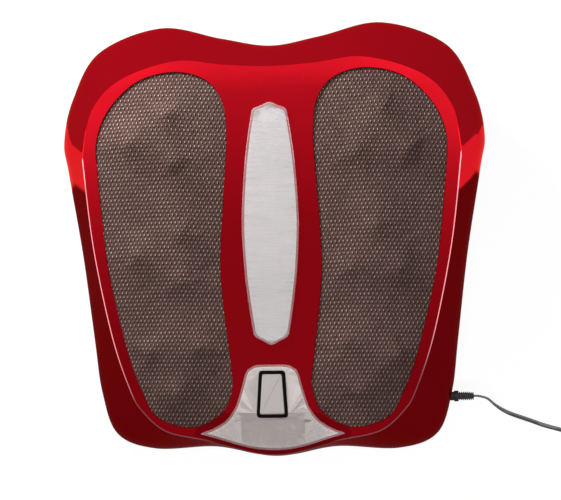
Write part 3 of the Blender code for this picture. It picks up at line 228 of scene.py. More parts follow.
def circle(centre: Vector, radius: float, count: int) -> list[Vector]:
    """Points of an anticlockwise circle."""
    return [Vector((centre.x + radius * math.cos(2 * math.pi * i / count),
                    centre.y + radius * math.sin(2 * math.pi * i / count)))
            for i in range(count)]


# Mesh work


def ring(bm: BMesh, points: Iterable[Sequence[float]]) -> list[BMVert]:
    """Draws a closed loop of edges through the points."""
    places = [Vector(p).to_3d() for p in points]
    verts = bmesh.ops.create_circle(bm, segments=len(places), radius=1.0)["verts"]
    for vert, place in zip(verts, places):
        vert.co = place
    return verts


def loop_edges(verts: Sequence[BMVert]) -> list[BMEdge]:
    """The edges that join a ring's neighbours, in the order that the ring meets them."""
    members = set(verts)
    return list(dict.fromkeys(e for v in verts for e in v.link_edges
                              if e.verts[0] in members and e.verts[1] in members))


def pulled(bm: BMesh, verts: Sequence[BMVert], places: Points) -> list[BMVert]:
    """Extrudes a ring of edges and moves the new ring to its places.

    Args:
        bm: The mesh being made.
        verts: The ring in order.
        places: Where the new ring goes, in the same order.

    Returns:
        The new ring in order.
    """
    made = bmesh.ops.extrude_edge_only(bm, edges=loop_edges(verts))["geom"]
    fresh = {tuple(v.co): v for v in made if isinstance(v, BMVert)}
    new_ring = [fresh[tuple(v.co)] for v in verts]
    for vert, place in zip(new_ring, places):
        vert.co = place
    return new_ring


def loft(bm: BMesh, sections: Sequence[Points]) -> None:
    """Pulls one ring through all the sections and back to the first one.

    Args:
        bm: The mesh being made.
        sections: Rings of equally many points.
    """
    first = verts = ring(bm, sections[0])
    for section in [*sections[1:], sections[0]]:
        verts = pulled(bm, verts, section)
    bmesh.ops.remove_doubles(bm, verts=first + verts, dist=WELD)


def fill(bm: BMesh, edges: Sequence[BMEdge]) -> None:
    """Fills a flat outline with triangles."""
    bmesh.ops.triangle_fill(bm, use_beauty=True, use_dissolve=False, edges=edges, normal=UP)


def filled(bm: BMesh, loops: Sequence[Points]) -> list[list[BMVert]]:
    """Fills a flat shape whose first loop is its outside and whose others are holes."""
    rings = [ring(bm, loop) for loop in loops]
    fill(bm, [e for verts in rings for e in loop_edges(verts)])
    return rings


def cut_lines(bm: BMesh, spots: Iterable[float], across: Vector) -> None:
    """Cuts the mesh along planes across a direction, so that it can bend there."""
    for spot in spots:
        bmesh.ops.bisect_plane(bm, geom=bm.verts[:] + bm.edges[:] + bm.faces[:], dist=WELD,
                               plane_co=across * spot, plane_no=across)


def bevelled(bm: BMesh, edges: Sequence[BMEdge], offset: float, segments: int
             ) -> list[BMFace]:
    """Rounds edges and gives back the new faces."""
    return bmesh.ops.bevel(bm, geom=edges, offset=offset, segments=segments,
                           affect="EDGES", profile=0.5, material=-1)["faces"]


def boxed(size: Sequence[float], bevel: float, segments: int) -> BMesh:
    """A box with rounded edges, round the origin."""
    bm = bmesh.new()
    bmesh.ops.create_cube(bm, size=1.0)
    bmesh.ops.scale(bm, vec=size, verts=bm.verts[:])
    bevelled(bm, bm.edges[:], bevel, segments)
    return bm


def soft_sheet(bm: BMesh, borders: Sequence[tuple[Points, float, float]],
               curve: Sequence[tuple[float, float]] = ((0.3, 0.3), (0.0, 1.0)),
               rim_slot: int = 0) -> None:
    """Fills a flat shape whose borders drop below the rest.

    Args:
        bm: The mesh being made.
        borders: The outside and then any holes, each an anticlockwise loop with how far in
            its edge begins and how far it drops.
        curve: Shares of the width and the drop, from the flat part to the border.
        rim_slot: Material slot of the outer border's slope.
    """
    # The fill ends a quarter of a width further in, so that the slope has faces of its own.
    ways = [-1] + [1] * (len(borders) - 1)
    rings = filled(bm, [moved_out(loop, way * width * 1.25)
                        for (loop, width, _), way in zip(borders, ways)])
    for verts, (loop, width, fall), way in zip(rings, borders, ways):
        for part, drop in ((1.0, 0.0), *curve):
            verts = pulled(bm, verts, [Vector((p.x, p.y, -fall * drop))
                                       for p in moved_out(loop, way * width * part)])
        if way < 0:
            for face in {f for v in verts for f in v.link_faces}:
                face.material_index = rim_slot


def plate(bm: BMesh, surface: Height, thickness: float) -> None:
    """Lifts a flat sheet onto a surface and gives it a thickness below that.

    Args:
        bm: A flat sheet, whose own z is kept as a drop below the surface.
        surface: Height of the upper face over a plan place.
        thickness: Depth of the finished plate.
    """
    for vert in bm.verts:
        vert.co.z += surface(vert.co.x, vert.co.y)
    made = bmesh.ops.extrude_face_region(bm, geom=bm.faces[:], use_keep_orig=True)["geom"]
    lower = {g for g in made if isinstance(g, BMVert)}
    bmesh.ops.translate(bm, verts=list(lower), vec=(0, 0, -thickness))
    bm.normal_update()
    for face in bm.faces:
        low = sum(vert in lower for vert in face.verts)
        way = Vector((0, 0, 1 if low == 0 else -1))
        if 0 < low < len(face.verts):
            top = next(f for e in face.edges for f in e.link_faces
                       if not any(vert in lower for vert in f.verts))
            way = face.calc_center_median() - top.calc_center_median()
            way.z = 0.0
        if face.normal.dot(way) < 0:
            face.normal_flip()


def turned(profile: Sequence[tuple[float, float]], steps: int, along: str) -> BMesh:
    """Spins a profile into a round piece.

    Args:
        profile: Pairs of radius and place along the axis.
        steps: Facets round the axis.
        along: "X" or "Y", the axis that it turns round.

    Returns:
        A closed round mesh.
    """
    bm = bmesh.new()
    verts = [bm.verts.new((radius, 0, place)) for radius, place in profile]
    edges = [bm.edges.new(pair) for pair in zip(verts, verts[1:])]
    bmesh.ops.spin(bm, geom=verts + edges, cent=(0, 0, 0), axis=UP, angle=2 * math.pi,
                   steps=steps, use_merge=True)
    bmesh.ops.remove_doubles(bm, verts=bm.verts[:], dist=WELD)
    bm.transform(Matrix.Rotation(math.pi / 2, 4, "Y") if along == "X"
                 else Matrix.Rotation(-math.pi / 2, 4, "X"))
    return bm


def joined(parts: Sequence[BMesh]) -> BMesh:
    """Puts several meshes into the first one."""
    whole = parts[0]
    for part in parts[1:]:
        mesh = bpy.data.meshes.new("joining")
        part.to_mesh(mesh)
        part.free()
        whole.from_mesh(mesh)
        bpy.data.meshes.remove(mesh)
    return whole


def placed(name: str, data: bpy.types.ID) -> bpy.types.Object:
    """A new object, at the origin of the scene."""
    made = bpy.data.objects.new(name, data)
    bpy.context.scene.collection.objects.link(made)
    return made


def drawn_curve(name: str, dimensions: str, points: Sequence[Sequence[float]]
                ) -> bpy.types.Object:
    """A curve object with straight parts through the points."""
    curve = bpy.data.curves.new(name, "CURVE")
    curve.dimensions = dimensions
    spline = curve.splines.new("POLY")
    spline.points.add(len(points) - 1)
    for slot, point in zip(spline.points, points):
        slot.co = (*point, 1)
    return placed(name, curve)


def finished(bm: BMesh, name: str, body: str, look: bpy.types.Material,
             replaces: Sequence[str] = (), sharp: float = 35.0,
             recalculate: bool = True) -> bpy.types.Object:
    """Makes an object of the mesh, at the origin, riding on its body.

    Args:
        bm: The finished mesh, which is freed.
        name: The piece's name.
        body: The body that it rides on.
        look: Its material.
        replaces: CAD nodes that it stands for.
        sharp: Angle in degrees past which an edge stays crisp.
        recalculate: Whether the faces are turned outwards.

    Returns:
        The new object.
    """
    if recalculate:
        bmesh.ops.recalc_face_normals(bm, faces=bm.faces[:])
        if bm.calc_volume(signed=True) < 0:
            bmesh.ops.reverse_faces(bm, faces=bm.faces[:])
    mesh = bpy.data.meshes.new(name)
    bm.to_mesh(mesh)
    bm.free()
    mesh.shade_smooth()
    mesh.set_sharp_from_angle(angle=math.radians(sharp))
    mesh.materials.append(look)
    made = placed(name, mesh)
    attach(made, body)
    if replaces:
        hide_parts(*replaces)
    log.info("%s: %d faces", name, len(mesh.polygons))
    return made


def true_shading(made: bpy.types.Object, surface: Height) -> None:
    """Shades a sheet's upper faces by the surface that they follow.

    Args:
        made: The sheet, whose rounded edges keep their own shading.
        surface: Height of the upper face over a plan place.
    """
    step, alike, inwards = 0.0002, 0.985, 0.1

    def slope(x: float, y: float) -> Vector:
        """The surface's normal at a plan place."""
        return Vector((surface(x - step, y) - surface(x + step, y),
                       surface(x, y - step) - surface(x, y + step), 2 * step)).normalized()

    mesh = made.data
    corners = [tuple(normal.vector) for normal in mesh.corner_normals]
    for face in mesh.polygons:
        centre = face.center
        if face.normal.dot(slope(centre.x, centre.y)) > alike:
            for i, vert in zip(face.loop_indices, face.vertices):
                spot = mesh.vertices[vert].co.lerp(centre, inwards)
                corners[i] = tuple(slope(spot.x, spot.y))
    mesh.normals_split_custom_set(corners)


# Materials


class Graph:
    """A material's node tree, written as short sums."""

    def __init__(self, name: str) -> None:
        """Starts a material with a Principled shader.

        Args:
            name: The material's name.
        """
        self.material = bpy.data.materials.new(name)
        self.material.use_nodes = True
        self.tree = self.material.node_tree
        self.shader = self.tree.nodes["Principled BSDF"]

    def node(self, kind: str, **values: object) -> bpy.types.Node:
        """Adds a node, with values for its settings or its sockets by name.

        Args:
            kind: The node's type.
            **values: Settings such as operation=, or sockets with _ for a space.

        Returns:
            The new node.
        """
        made = self.tree.nodes.new(kind)
        for key, value in values.items():
            if hasattr(made, key):
                setattr(made, key, value)
            else:
                self.feed(made.inputs[key.replace("_", " ")], value)
        return made

    def feed(self, socket: bpy.types.NodeSocket, value: object) -> None:
        """Links a socket's source to it, or sets its value."""
        if isinstance(value, bpy.types.NodeSocket):
            self.tree.links.new(value, socket)
        else:
            socket.default_value = value

    def sum(self, operation: str, a: object, b: object = 0.0, c: object = 0.0
            ) -> bpy.types.NodeSocket:
        """A Math node's output."""
        made = self.tree.nodes.new("ShaderNodeMath")
        made.operation = operation
        for socket, value in zip(made.inputs, (a, b, c)):
            self.feed(socket, value)
        return made.outputs[0]

    def plus(self, a: object, b: object) -> bpy.types.NodeSocket:
        """a + b."""
        return self.sum("ADD", a, b)

    def less(self, a: object, b: object) -> bpy.types.NodeSocket:
        """a - b."""
        return self.sum("SUBTRACT", a, b)

    def times(self, a: object, b: object) -> bpy.types.NodeSocket:
        """a * b."""
        return self.sum("MULTIPLY", a, b)

    def object_place(self, scale: Sequence[float] = (1.0, 1.0, 1.0)) -> bpy.types.NodeSocket:
        """Object coordinates, scaled."""
        place = self.node("ShaderNodeTexCoord").outputs["Object"]
        return self.node("ShaderNodeMapping", Vector=place, Scale=scale).outputs[0]

    def axes(self) -> Sequence[bpy.types.NodeSocket]:
        """x, y and z of the Object coordinates."""
        return self.node("ShaderNodeSeparateXYZ", Vector=self.object_place()).outputs

    def noise(self, scale: float, detail: float = 3.0,
              stretch: Sequence[float] = (1.0, 1.0, 1.0)) -> bpy.types.NodeSocket:
        """Noise from 0 to 1 on Object coordinates."""
        return self.node("ShaderNodeTexNoise", Vector=self.object_place(stretch), Scale=scale,
                         Detail=detail).outputs["Fac"]

    def spread(self, value: object, low: float = 0.3, high: float = 0.7, to_low: float = 0.0,
               to_high: float = 1.0) -> bpy.types.NodeSocket:
        """Smoothly maps a range of one value to a range of another."""
        made = self.node("ShaderNodeMapRange", interpolation_type="SMOOTHSTEP")
        for key, part in (("Value", value), ("From Min", low), ("From Max", high),
                          ("To Min", to_low), ("To Max", to_high)):
            self.feed(made.inputs[key], part)
        return made.outputs[0]

    def varied(self, noise: object, middle: float, least: float = 0.85, most: float = 1.2
               ) -> bpy.types.NodeSocket:
        """A value that a noise moves round its middle, between two shares of it."""
        return self.spread(noise, to_low=middle * least, to_high=middle * most)

    def blend(self, share: object, a: Sequence[float], b: Sequence[float]
              ) -> bpy.types.NodeSocket:
        """A colour between a and b."""
        made = self.node("ShaderNodeMix", data_type="RGBA")
        for socket, value in ((made.inputs[0], share), (made.inputs[6], a),
                              (made.inputs[7], b)):
            if not isinstance(value, bpy.types.NodeSocket) and socket != made.inputs[0]:
                value = (*value, 1.0)
            self.feed(socket, value)
        return made.outputs[2]

    def bump(self, height: object, depth: float) -> bpy.types.NodeSocket:
        """A normal from a height in metres."""
        return self.node("ShaderNodeBump", Height=height, Distance=depth, Strength=1.0
                         ).outputs[0]

    def glow(self, strength: object) -> bpy.types.NodeSocket:
        """A shader that gives white light."""
        return self.node("ShaderNodeEmission", Color=WHITE, Strength=strength).outputs[0]

    def mixed(self, kind: str, a: bpy.types.NodeSocket, b: bpy.types.NodeSocket,
              share: bpy.types.NodeSocket | None = None) -> bpy.types.NodeSocket:
        """Adds two shaders, or mixes them by a share."""
        made = self.tree.nodes.new(kind)
        shaders = [s for s in made.inputs if s.type == "SHADER"]
        self.feed(shaders[0], a)
        self.feed(shaders[1], b)
        if share is not None:
            self.feed(made.inputs[0], share)
        return made.outputs[0]

    def dress(self, **values: object) -> bpy.types.Material:
        """Sets or links the shader's sockets and gives the material back."""
        for key, value in values.items():
            if isinstance(value, tuple) and len(value) == 3:
                value = (*value, 1.0)
            self.feed(self.shader.inputs[key.replace("_", " ")], value)
        return self.material


@dataclass(frozen=True)
class Lacquer:
    """High-gloss coloured plastic under a clear coat, with faint waviness and dust, and, where
    pale is given, a painted highlight.
    """

    name: str
    colour: Colour
    deep: Colour
    roughness: float = 0.03
    metallic: float = 0.92
    coat: float = 0.10
    pale: Colour | None = None
    painted_highlight_before: float = 0.074
    painted_highlight_blur: float = 0.002
    painted_highlight_outside: float = 0.050
    painted_highlight_reach: float = 0.02

    def material(self) -> bpy.types.Material:
        """The finish as a material."""
        g = Graph(self.name)
        wave = g.bump(g.noise(70.0, 1.0), 0.000015)
        colour = g.blend(g.spread(g.noise(9.0, 2.0)), self.deep, self.colour)
        # Painted highlight: the pale colour is laid towards the user and out to the sides,
        # where the edge would catch a light.
        if self.pale:
            x, y, _ = g.axes()
            before = g.spread(y, self.painted_highlight_before - self.painted_highlight_blur,
                              self.painted_highlight_before + self.painted_highlight_blur, 1.0, 0.0)
            outside = g.spread(g.sum("ABSOLUTE", x), self.painted_highlight_outside,
                               self.painted_highlight_outside + self.painted_highlight_reach)
            colour = g.blend(g.times(before, outside), colour, self.pale)
        return g.dress(Base_Color=colour,
                       Roughness=g.varied(g.noise(60.0, 4.0), self.roughness),
                       Metallic=self.metallic, Specular_Tint=(1.0, 0.16, 0.18),
                       Coat_Weight=self.coat, Coat_Roughness=0.03, Normal=wave,
                       Coat_Normal=wave)


@dataclass(frozen=True)
class Moulded:
    """Moulded plastic or rubber with a fine spark-eroded grain."""

    name: str
    colour: Colour
    roughness: float
    grain: float = 0.00005
    grain_scale: float = 1400.0
    glow_through: float = 0.0
    shine: float = 0.5

    def material(self) -> bpy.types.Material:
        """The finish as a material."""
        g = Graph(self.name)
        grain = g.noise(self.grain_scale, 2.0)
        deep = tuple(c * 0.78 for c in self.colour)
        return g.dress(Base_Color=g.blend(g.spread(g.noise(35.0)), deep, self.colour),
                       Roughness=g.varied(grain, self.roughness, most=1.15),
                       Transmission_Weight=self.glow_through, Specular_IOR_Level=self.shine,
                       Normal=g.bump(grain, self.grain))


@dataclass(frozen=True)
class Brushed:
    """Brushed or drawn metal, or a metal-look foil, with streaks along one axis."""

    name: str
    colour: Colour
    metallic: float
    roughness: float
    streaks: Axis = Axis.Y
    depth: float = 0.00001
    contrast: float = 0.10

    def material(self) -> bpy.types.Material:
        """The finish as a material."""
        g = Graph(self.name)
        lines = g.noise(900.0, 3.0, self.streaks.value)
        pale = tuple(min(c * (1 + self.contrast), 1.0) for c in self.colour)
        deep = tuple(c * (1 - self.contrast) for c in self.colour)
        share = g.sum("MULTIPLY_ADD", g.spread(lines), 0.6, g.times(g.noise(16.0, 2.0), 0.4))
        return g.dress(Base_Color=g.blend(share, deep, pale), Metallic=self.metallic,
                       Roughness=g.varied(lines, self.roughness),
                       Normal=g.bump(lines, self.depth))


@dataclass(frozen=True)
class SpacerMesh:
    """Knitted spacer mesh: staggered small knots, each with a hole beside it that is darkened
    as painted shade on the side away from the light, and a painted glint on each knot.
    """

    name: str
    painted_glint_thread: Colour
    ground: Colour
    hole_and_painted_shade: Colour
    across: float = 0.00385
    along: float = 0.0076
    lean: float = 0.12
    painted_shade_offset: tuple = (0.0010, -0.0009)
    wander: float = 0.0009
    relief: float = 0.0006

    def knots(self, g: Graph, place: Sequence, offset: Sequence[float]
              ) -> bpy.types.NodeSocket:
        """How near each place is to a knot, from -1 to 1.

        Args:
            g: The material's graph.
            place: x and y of the place.
            offset: How far the knots are moved.

        Returns:
            The product of two waves.
        """
        waves = []
        for spot, step, pitch in zip(place, offset, (self.across, self.along)):
            waves.append(g.sum("COSINE", g.times(g.less(spot, step), 2 * math.pi / pitch)))
        return g.times(*waves)

    def material(self) -> bpy.types.Material:
        """The finish as a material."""
        g = Graph(self.name)
        x, y, _ = g.axes()
        wander = g.times(g.less(g.noise(60.0, 2.0), 0.5), self.wander)
        place = (g.plus(g.sum("MULTIPLY_ADD", y, -self.lean, x), wander), g.plus(y, wander))
        knots = self.knots(g, place, (0.0, 0.0))
        # Painted shade: the holes sit on each knot's side away from the light and take the dark
        # colour there.
        holes = self.knots(g, place, self.painted_shade_offset)
        fibre = g.noise(900.0, 2.0, (1.0, 0.6, 1.0))
        rise = g.spread(knots, 0.05, 0.95)
        height = g.sum("MULTIPLY_ADD", fibre, 0.25, rise)
        yarn = g.blend(g.spread(fibre), tuple(c * 0.62 for c in self.ground), self.ground)
        dark = g.times(g.spread(holes, 0.15, 0.85, 0.0, 0.92),
                       g.spread(knots, 0.30, 0.75, 1.0, 0.0))
        # Painted highlight: the top of each knot takes the pale thread colour as a glint.
        painted_glint = g.times(g.spread(knots, 0.52, 0.97),
                        g.spread(g.noise(420.0, 1.0), 0.30, 0.62, 0.35, 1.0))
        colour = g.blend(painted_glint, g.blend(dark, yarn, self.hole_and_painted_shade), self.painted_glint_thread)
        worn = g.spread(g.noise(22.0), 0.3, 0.75, 0.88, 1.10)
        shaded = g.node("ShaderNodeHueSaturation", Color=colour, Value=worn).outputs[0]
        return g.dress(Base_Color=shaded, Roughness=g.spread(rise, 0.0, 1.0, 0.85, 0.45),
                       Specular_Tint=(1.0, 0.80, 0.74), Specular_IOR_Level=0.4,
                       Normal=g.bump(height, self.relief))


@dataclass(frozen=True)
class ClearSheet:
    """A thin clear lens that shows what lies under it, paler towards its edge."""

    name: str
    tint: Colour
    cover: float

    def material(self) -> bpy.types.Material:
        """The finish as a material."""
        g = Graph(self.name)
        smear = g.noise(40.0)
        rim = g.node("ShaderNodeLayerWeight", Blend=0.25).outputs["Facing"]
        cover = g.sum("MULTIPLY_ADD", rim, 0.5, g.varied(smear, self.cover, 0.8))
        return g.dress(Base_Color=self.tint, Alpha=cover, Coat_Weight=1.0,
                       Roughness=g.spread(smear, to_low=0.04, to_high=0.09),
                       Coat_Roughness=0.03)


@dataclass(frozen=True)
class Laminate:
    """A green circuit board with copper tracks under its mask."""

    name: str

    def material(self) -> bpy.types.Material:
        """The finish as a material."""
        g = Graph(self.name)
        cells = g.node("ShaderNodeTexBrick", Vector=g.object_place(), Scale=220.0,
                       Mortar_Size=0.03).outputs["Fac"]
        return g.dress(Base_Color=g.blend(cells, (0.008, 0.09, 0.03), (0.03, 0.20, 0.07)),
                       Roughness=g.spread(g.noise(300.0), to_low=0.35, to_high=0.5),
                       Normal=g.bump(cells, 0.00004), Coat_Weight=0.3)


@dataclass(frozen=True)
class Surround:
    """How bright reflections find the studio's lower half, on the floor and above it.

    The card lies between two directions, as steps ahead for each step outwards. The first of
    these is given for the left and for the right.
    """

    side: float = 0.15
    card: float = 1.15
    far: float = 0.43
    card_low: tuple = (-0.02, -0.07)
    card_high: float = 0.185
    blur: float = 0.01
    middle: float = 0.05

    def sided(self, g: Graph, x: object, pair: Sequence[float]) -> bpy.types.NodeSocket:
        """The left or the right one of two values, by the sign of x."""
        return g.spread(x, -self.middle, self.middle, *pair)

    def graded(self, g: Graph, ahead: object, past: object) -> bpy.types.NodeSocket:
        """The level from two shares: past the card's start, and past its end."""
        level = g.sum("MULTIPLY_ADD", ahead, self.card - self.side, self.side)
        return g.sum("MULTIPLY_ADD", past, self.far - self.card, level)


@dataclass(frozen=True)
class Paper:
    """The studio's pale sweep, with a white reflection card on each side of the object.

    The camera sees it near white, with the object's soft shadow. Reflections see a mid grey
    beyond the cards and a dim floor beside and before the object. Each card is a wedge that
    starts card_start from the middle and runs outwards.
    """

    name: str
    shade: float = 0.14
    lift: float = 0.93
    levels: Surround = Surround()
    card_start: float = 0.29
    card_near: tuple = (0.061, 0.066)
    card_far: tuple = (0.152, 0.138)
    blur: float = 0.004

    def material(self) -> bpy.types.Material:
        """The finish as a material."""
        g = Graph(self.name)
        g.dress(Base_Color=(self.shade,) * 3, Roughness=0.9, Specular_IOR_Level=0.1,
                Normal=g.bump(g.noise(700.0), 0.00002))
        x, y, _ = g.axes()
        out = g.less(g.sum("ABSOLUTE", x), self.card_start)
        low, near, far = (self.levels.sided(g, x, pair) for pair in
                          (self.levels.card_low, self.card_near, self.card_far))
        ahead = g.less(y, g.sum("MULTIPLY_ADD", out, low, near))
        past = g.less(y, g.sum("MULTIPLY_ADD", out, self.levels.card_high, far))
        level = self.levels.graded(g, *(g.spread(edge, -self.blur, self.blur)
                                        for edge in (ahead, past)))
        rays = g.node("ShaderNodeLightPath").outputs
        both = g.mixed("ShaderNodeAddShader", g.shader.outputs[0], g.glow(self.lift))
        camera = g.mixed("ShaderNodeMixShader", g.shader.outputs[0], both,
                         rays["Is Camera Ray"])
        whole = g.mixed("ShaderNodeMixShader", camera, g.glow(level), rays["Is Glossy Ray"])
        g.feed(g.tree.nodes["Material Output"].inputs["Surface"], whole)
        return g.material


class Finishes:
    """Every finish on the object, made once."""

    def __init__(self) -> None:
        """Makes the materials."""
        reds = ((0.64, 0.002, 0.012), (0.61, 0.002, 0.010))
        foil = {"depth": 0.0, "contrast": 0.008}
        fine = (0.00003, 1200.0)
        self.red = Lacquer("cherry_lacquer", *reds).material()
        # The edge finish's pale colour is a painted highlight on the cover's outer chamfer.
        self.red_edge = Lacquer("red_edge_painted_highlight", *reds, pale=(1.0, 0.34, 0.38)).material()
        self.base = Moulded("dark_red_base", (0.17, 0.006, 0.012), 0.5).material()
        self.silver = Brushed("pearl_silver_foil", (0.72, 0.70, 0.70), 0.2, 0.45, **foil
                              ).material()
        self.panel = Brushed("warm_silver_foil", (0.88, 0.80, 0.78), 0.15, 0.45, **foil
                             ).material()
        self.button = Brushed("satin_silver_key", (0.60, 0.55, 0.54), 0.25, 0.40,
                              depth=0.000002, contrast=0.015).material()
        self.lens = ClearSheet("clear_lens", (0.92, 0.86, 0.87), 0.10).material()
        self.piano = Moulded("piano_black", (0.005, 0.003, 0.003), 0.3, 0.00001, shine=0.06
                             ).material()
        # The mesh's first colour is a painted glint on the knots; its last is the dark of the
        # holes, laid as painted shade.
        self.mesh = SpacerMesh("bronze_spacer_mesh", (0.56, 0.385, 0.345),
                               (0.118, 0.070, 0.060), (0.022, 0.011, 0.009)).material()
        self.inner = Moulded("black_abs", (0.022, 0.021, 0.022), 0.55).material()
        self.rubber = Moulded("foot_rubber", (0.02, 0.02, 0.02), 0.8, 0.0001, 900.0).material()
        self.knob = Moulded("amber_knob", (0.22, 0.075, 0.03), 0.35, 0.00002, 900.0, 0.15
                            ).material()
        self.gear = Moulded("nylon_gear", (0.66, 0.63, 0.55), 0.45, 0.00002).material()
        self.steel = Brushed("turned_steel", (0.55, 0.55, 0.56), 1.0, 0.3, Axis.Z).material()
        self.brass = Brushed("drawn_brass", (0.62, 0.42, 0.16), 1.0, 0.28, Axis.Z).material()
        self.board = Laminate("circuit_board").material()
        # The strand finish is painted shade for the cord's low strand.
        self.strand = Moulded("strand_painted_shade", (0.10, 0.10, 0.104), 0.5, *fine).material()
        self.sleeve = Moulded("grey_strain_sleeve", (0.07, 0.07, 0.072), 0.5, *fine).material()
        self.cord = Moulded("grey_cord_jacket", (0.33, 0.33, 0.336), 0.45, *fine).material()
        # The collar finish is also painted shade in the sleeve's grooves.
        self.collar = Moulded("dark_collar_and_groove_shade", (0.035, 0.028, 0.030), 0.5, *fine).material()
        self.adapter = Moulded("adapter_shell", (0.02, 0.02, 0.022), 0.5).material()

    def dress_nodes(self, nodes: dict[str, bpy.types.Object]) -> None:
        """Gives every CAD node the finish of its kind.

        Args:
            nodes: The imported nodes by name.
        """
        by_word = (("foot", self.rubber), ("screw", self.steel), ("base_plate", self.base),
                   ("mesh_frame", self.inner), ("mesh_cover", self.mesh),
                   ("head", self.knob), ("wheel", self.gear), ("spindle", self.steel),
                   ("worm_shaft", self.steel), ("chassis", self.inner),
                   ("bush", self.brass), ("motor", self.steel), ("heater", self.brass),
                   ("board", self.board), ("switch", self.piano), ("bezel", self.piano),
                   ("power_button", self.button), ("inlay", self.silver),
                   ("lens", self.lens), ("body_shell", self.red), ("top_cover", self.red),
                   ("adapter", self.adapter), ("cord", self.cord),
                   ("strain_relief", self.cord))
        for name, node in nodes.items():
            look = next(look for word, look in by_word if word in name)
            for slot in node.material_slots:
                slot.material = look


# Housing


@dataclass
class Housing:
    """The glossy housing: its outlines, its deck, the shell and the cover."""

    half_width: float = 0.204
    half_depth: float = 0.2055
    deck_height: float = 0.0873
    deck_slope: float = 0.111
    wall: float = 0.0026
    seam: float = 0.0003
    nose_start: float = -0.166
    nose_length: float = 0.039
    nose_drop: float = 0.021
    nose_flat_half: float = 0.030
    nose_fade: float = 0.046
    belt_far: float = 0.086
    belt_near: float = 0.018
    skirt_height: float = 0.004
    skirt_tuck: float = 0.006
    ledge: float = 0.0028
    shoulder_out: float = 0.54
    shoulder_down: float = 0.38
    edge_width: float = 0.0009
    edge_fall: float = 0.00035
    well_edge: float = 0.0004
    bend_start: float = 0.66
    rim_inset: float = 0.0002
    foot_turn: float = 0.0008
    straight_steps: int = 6
    round_steps: int = 8
    skirt_steps: int = 5
    shading_reach: int = 3
    fade_steps: int = 8
    bend_lines: int = 12
    bend_step: float = 0.0035
    outline_points: int = 336
    well_points: int = 150
    belt_shares: tuple = ((0.0, 0.905), (0.235, 0.944), (0.525, 1.0), (0.826, 0.891),
                          (0.956, 0.669), (1.0, 0.472), (0.978, 0.321), (0.912, -0.068),
                          (0.863, -0.457), (0.831, -0.701), (0.760, -0.895),
                          (0.578, -0.964), (0.294, -0.955), (0.098, -0.990), (0.0, -1.0))
    rim_shares: tuple = ((0.0, 0.777), (0.206, 0.788), (0.441, 0.810), (0.696, 0.732),
                         (0.832, 0.599), (0.877, 0.409), (0.873, 0.287), (0.827, -0.068),
                         (0.743, -0.457), (0.660, -0.701), (0.603, -0.798),
                         (0.490, -0.891), (0.294, -0.934), (0.098, -0.983), (0.0, -0.993))
    well_shares: tuple = ((0.445, 0.755), (0.615, 0.716), (0.745, 0.599), (0.806, 0.470),
                          (0.811, 0.321), (0.771, -0.068), (0.725, -0.311),
                          (0.660, -0.555), (0.607, -0.696), (0.530, -0.825),
                          (0.368, -0.871), (0.230, -0.805), (0.184, -0.696),
                          (0.188, -0.603), (0.230, -0.238), (0.231, -0.019),
                          (0.211, 0.277), (0.202, 0.472), (0.222, 0.618), (0.300, 0.716))

    def outlines(self) -> tuple[list[Vector], list[Vector]]:
        """The belt and the rim, point by point across from each other."""
        belt, rim = (mirrored(shares, self.half_width, 0.0, -self.half_depth, 12)
                     for shares in (self.belt_shares, self.rim_shares))
        step = len(belt) / self.outline_points
        picks = [int(i * step) for i in range(self.outline_points)]
        return [belt[i] for i in picks], [rim[i] for i in picks]

    def well(self, side: Side) -> list[Vector]:
        """The outline of one foot well, anticlockwise."""
        points = [Vector((side.value * x * self.half_width, y * self.half_depth))
                  for x, y in self.well_shares]
        if side is Side.RIGHT:
            points.reverse()
        return even(flowing(points, 12, True), self.well_points, True)

    def plane(self, x: float, y: float) -> float:
        """Height of the flat deck."""
        return self.deck_height + self.deck_slope * y

    def surface(self, x: float, y: float) -> float:
        """Height of the cover's face, with the nose bent down to the lip."""
        nose = min(max((self.nose_start - y) / self.nose_length, 0.0), 1.0)
        side = 1 - ease((abs(x) - self.nose_flat_half) / self.nose_fade)
        return self.plane(x, y) - self.nose_drop * nose * side

    def belt_height(self, y: float) -> float:
        """Height of the housing's widest line."""
        share = (y + self.half_depth) / (2 * self.half_depth)
        return self.belt_near + (self.belt_far - self.belt_near) * share

    def shell_section(self, rim: Vector, belt: Vector, inward: Vector) -> list[Vector]:
        """The shell's wall at one place, from the rim round its foot and back up inside.

        Args:
            rim: Plan place of the rim.
            belt: Plan place of the widest line.
            inward: Plan direction from the belt into the housing.

        Returns:
            The section's points, outside first.
        """
        top = self.surface(*rim) - self.edge_fall
        low = self.belt_height(belt.y)
        run = belt - rim
        across = run.normalized()
        shoulder = rim + run * self.shoulder_out
        shoulder_z = top - (top - low) * self.shoulder_down
        skirt = belt + inward * self.skirt_tuck
        start, widest = Vector((*rim, top)), Vector((*belt, low))
        edge = start.lerp(Vector((*shoulder, shoulder_z)), 1 / self.shoulder_out)
        bend = start.lerp(edge, self.bend_start)
        outside = [start.lerp(bend, i / self.straight_steps)
                   for i in range(self.straight_steps)]
        for i in range(self.round_steps + 1):
            share = i / self.round_steps
            outside.append(bend.lerp(edge, share).lerp(edge.lerp(widest, share), share))
        for i in range(1, self.skirt_steps + 1):
            share = i / self.skirt_steps
            outside.append(Vector((*belt.lerp(skirt, share ** 2),
                                   low + (self.skirt_height - low) * share)))
        outside[-1].z += self.foot_turn
        ledge, under = rim - across * self.ledge, top - self.wall - self.seam
        return outside + [
            Vector((*(skirt + inward * self.foot_turn), self.skirt_height)),
            Vector((*(skirt + inward * self.wall), self.skirt_height)),
            Vector((*(belt + inward * self.wall), low)),
            Vector((*(shoulder - across * self.wall), shoulder_z - self.wall - self.seam)),
            Vector((*ledge, top - self.wall * 2)), Vector((*ledge, under)),
            Vector((*rim, under))]

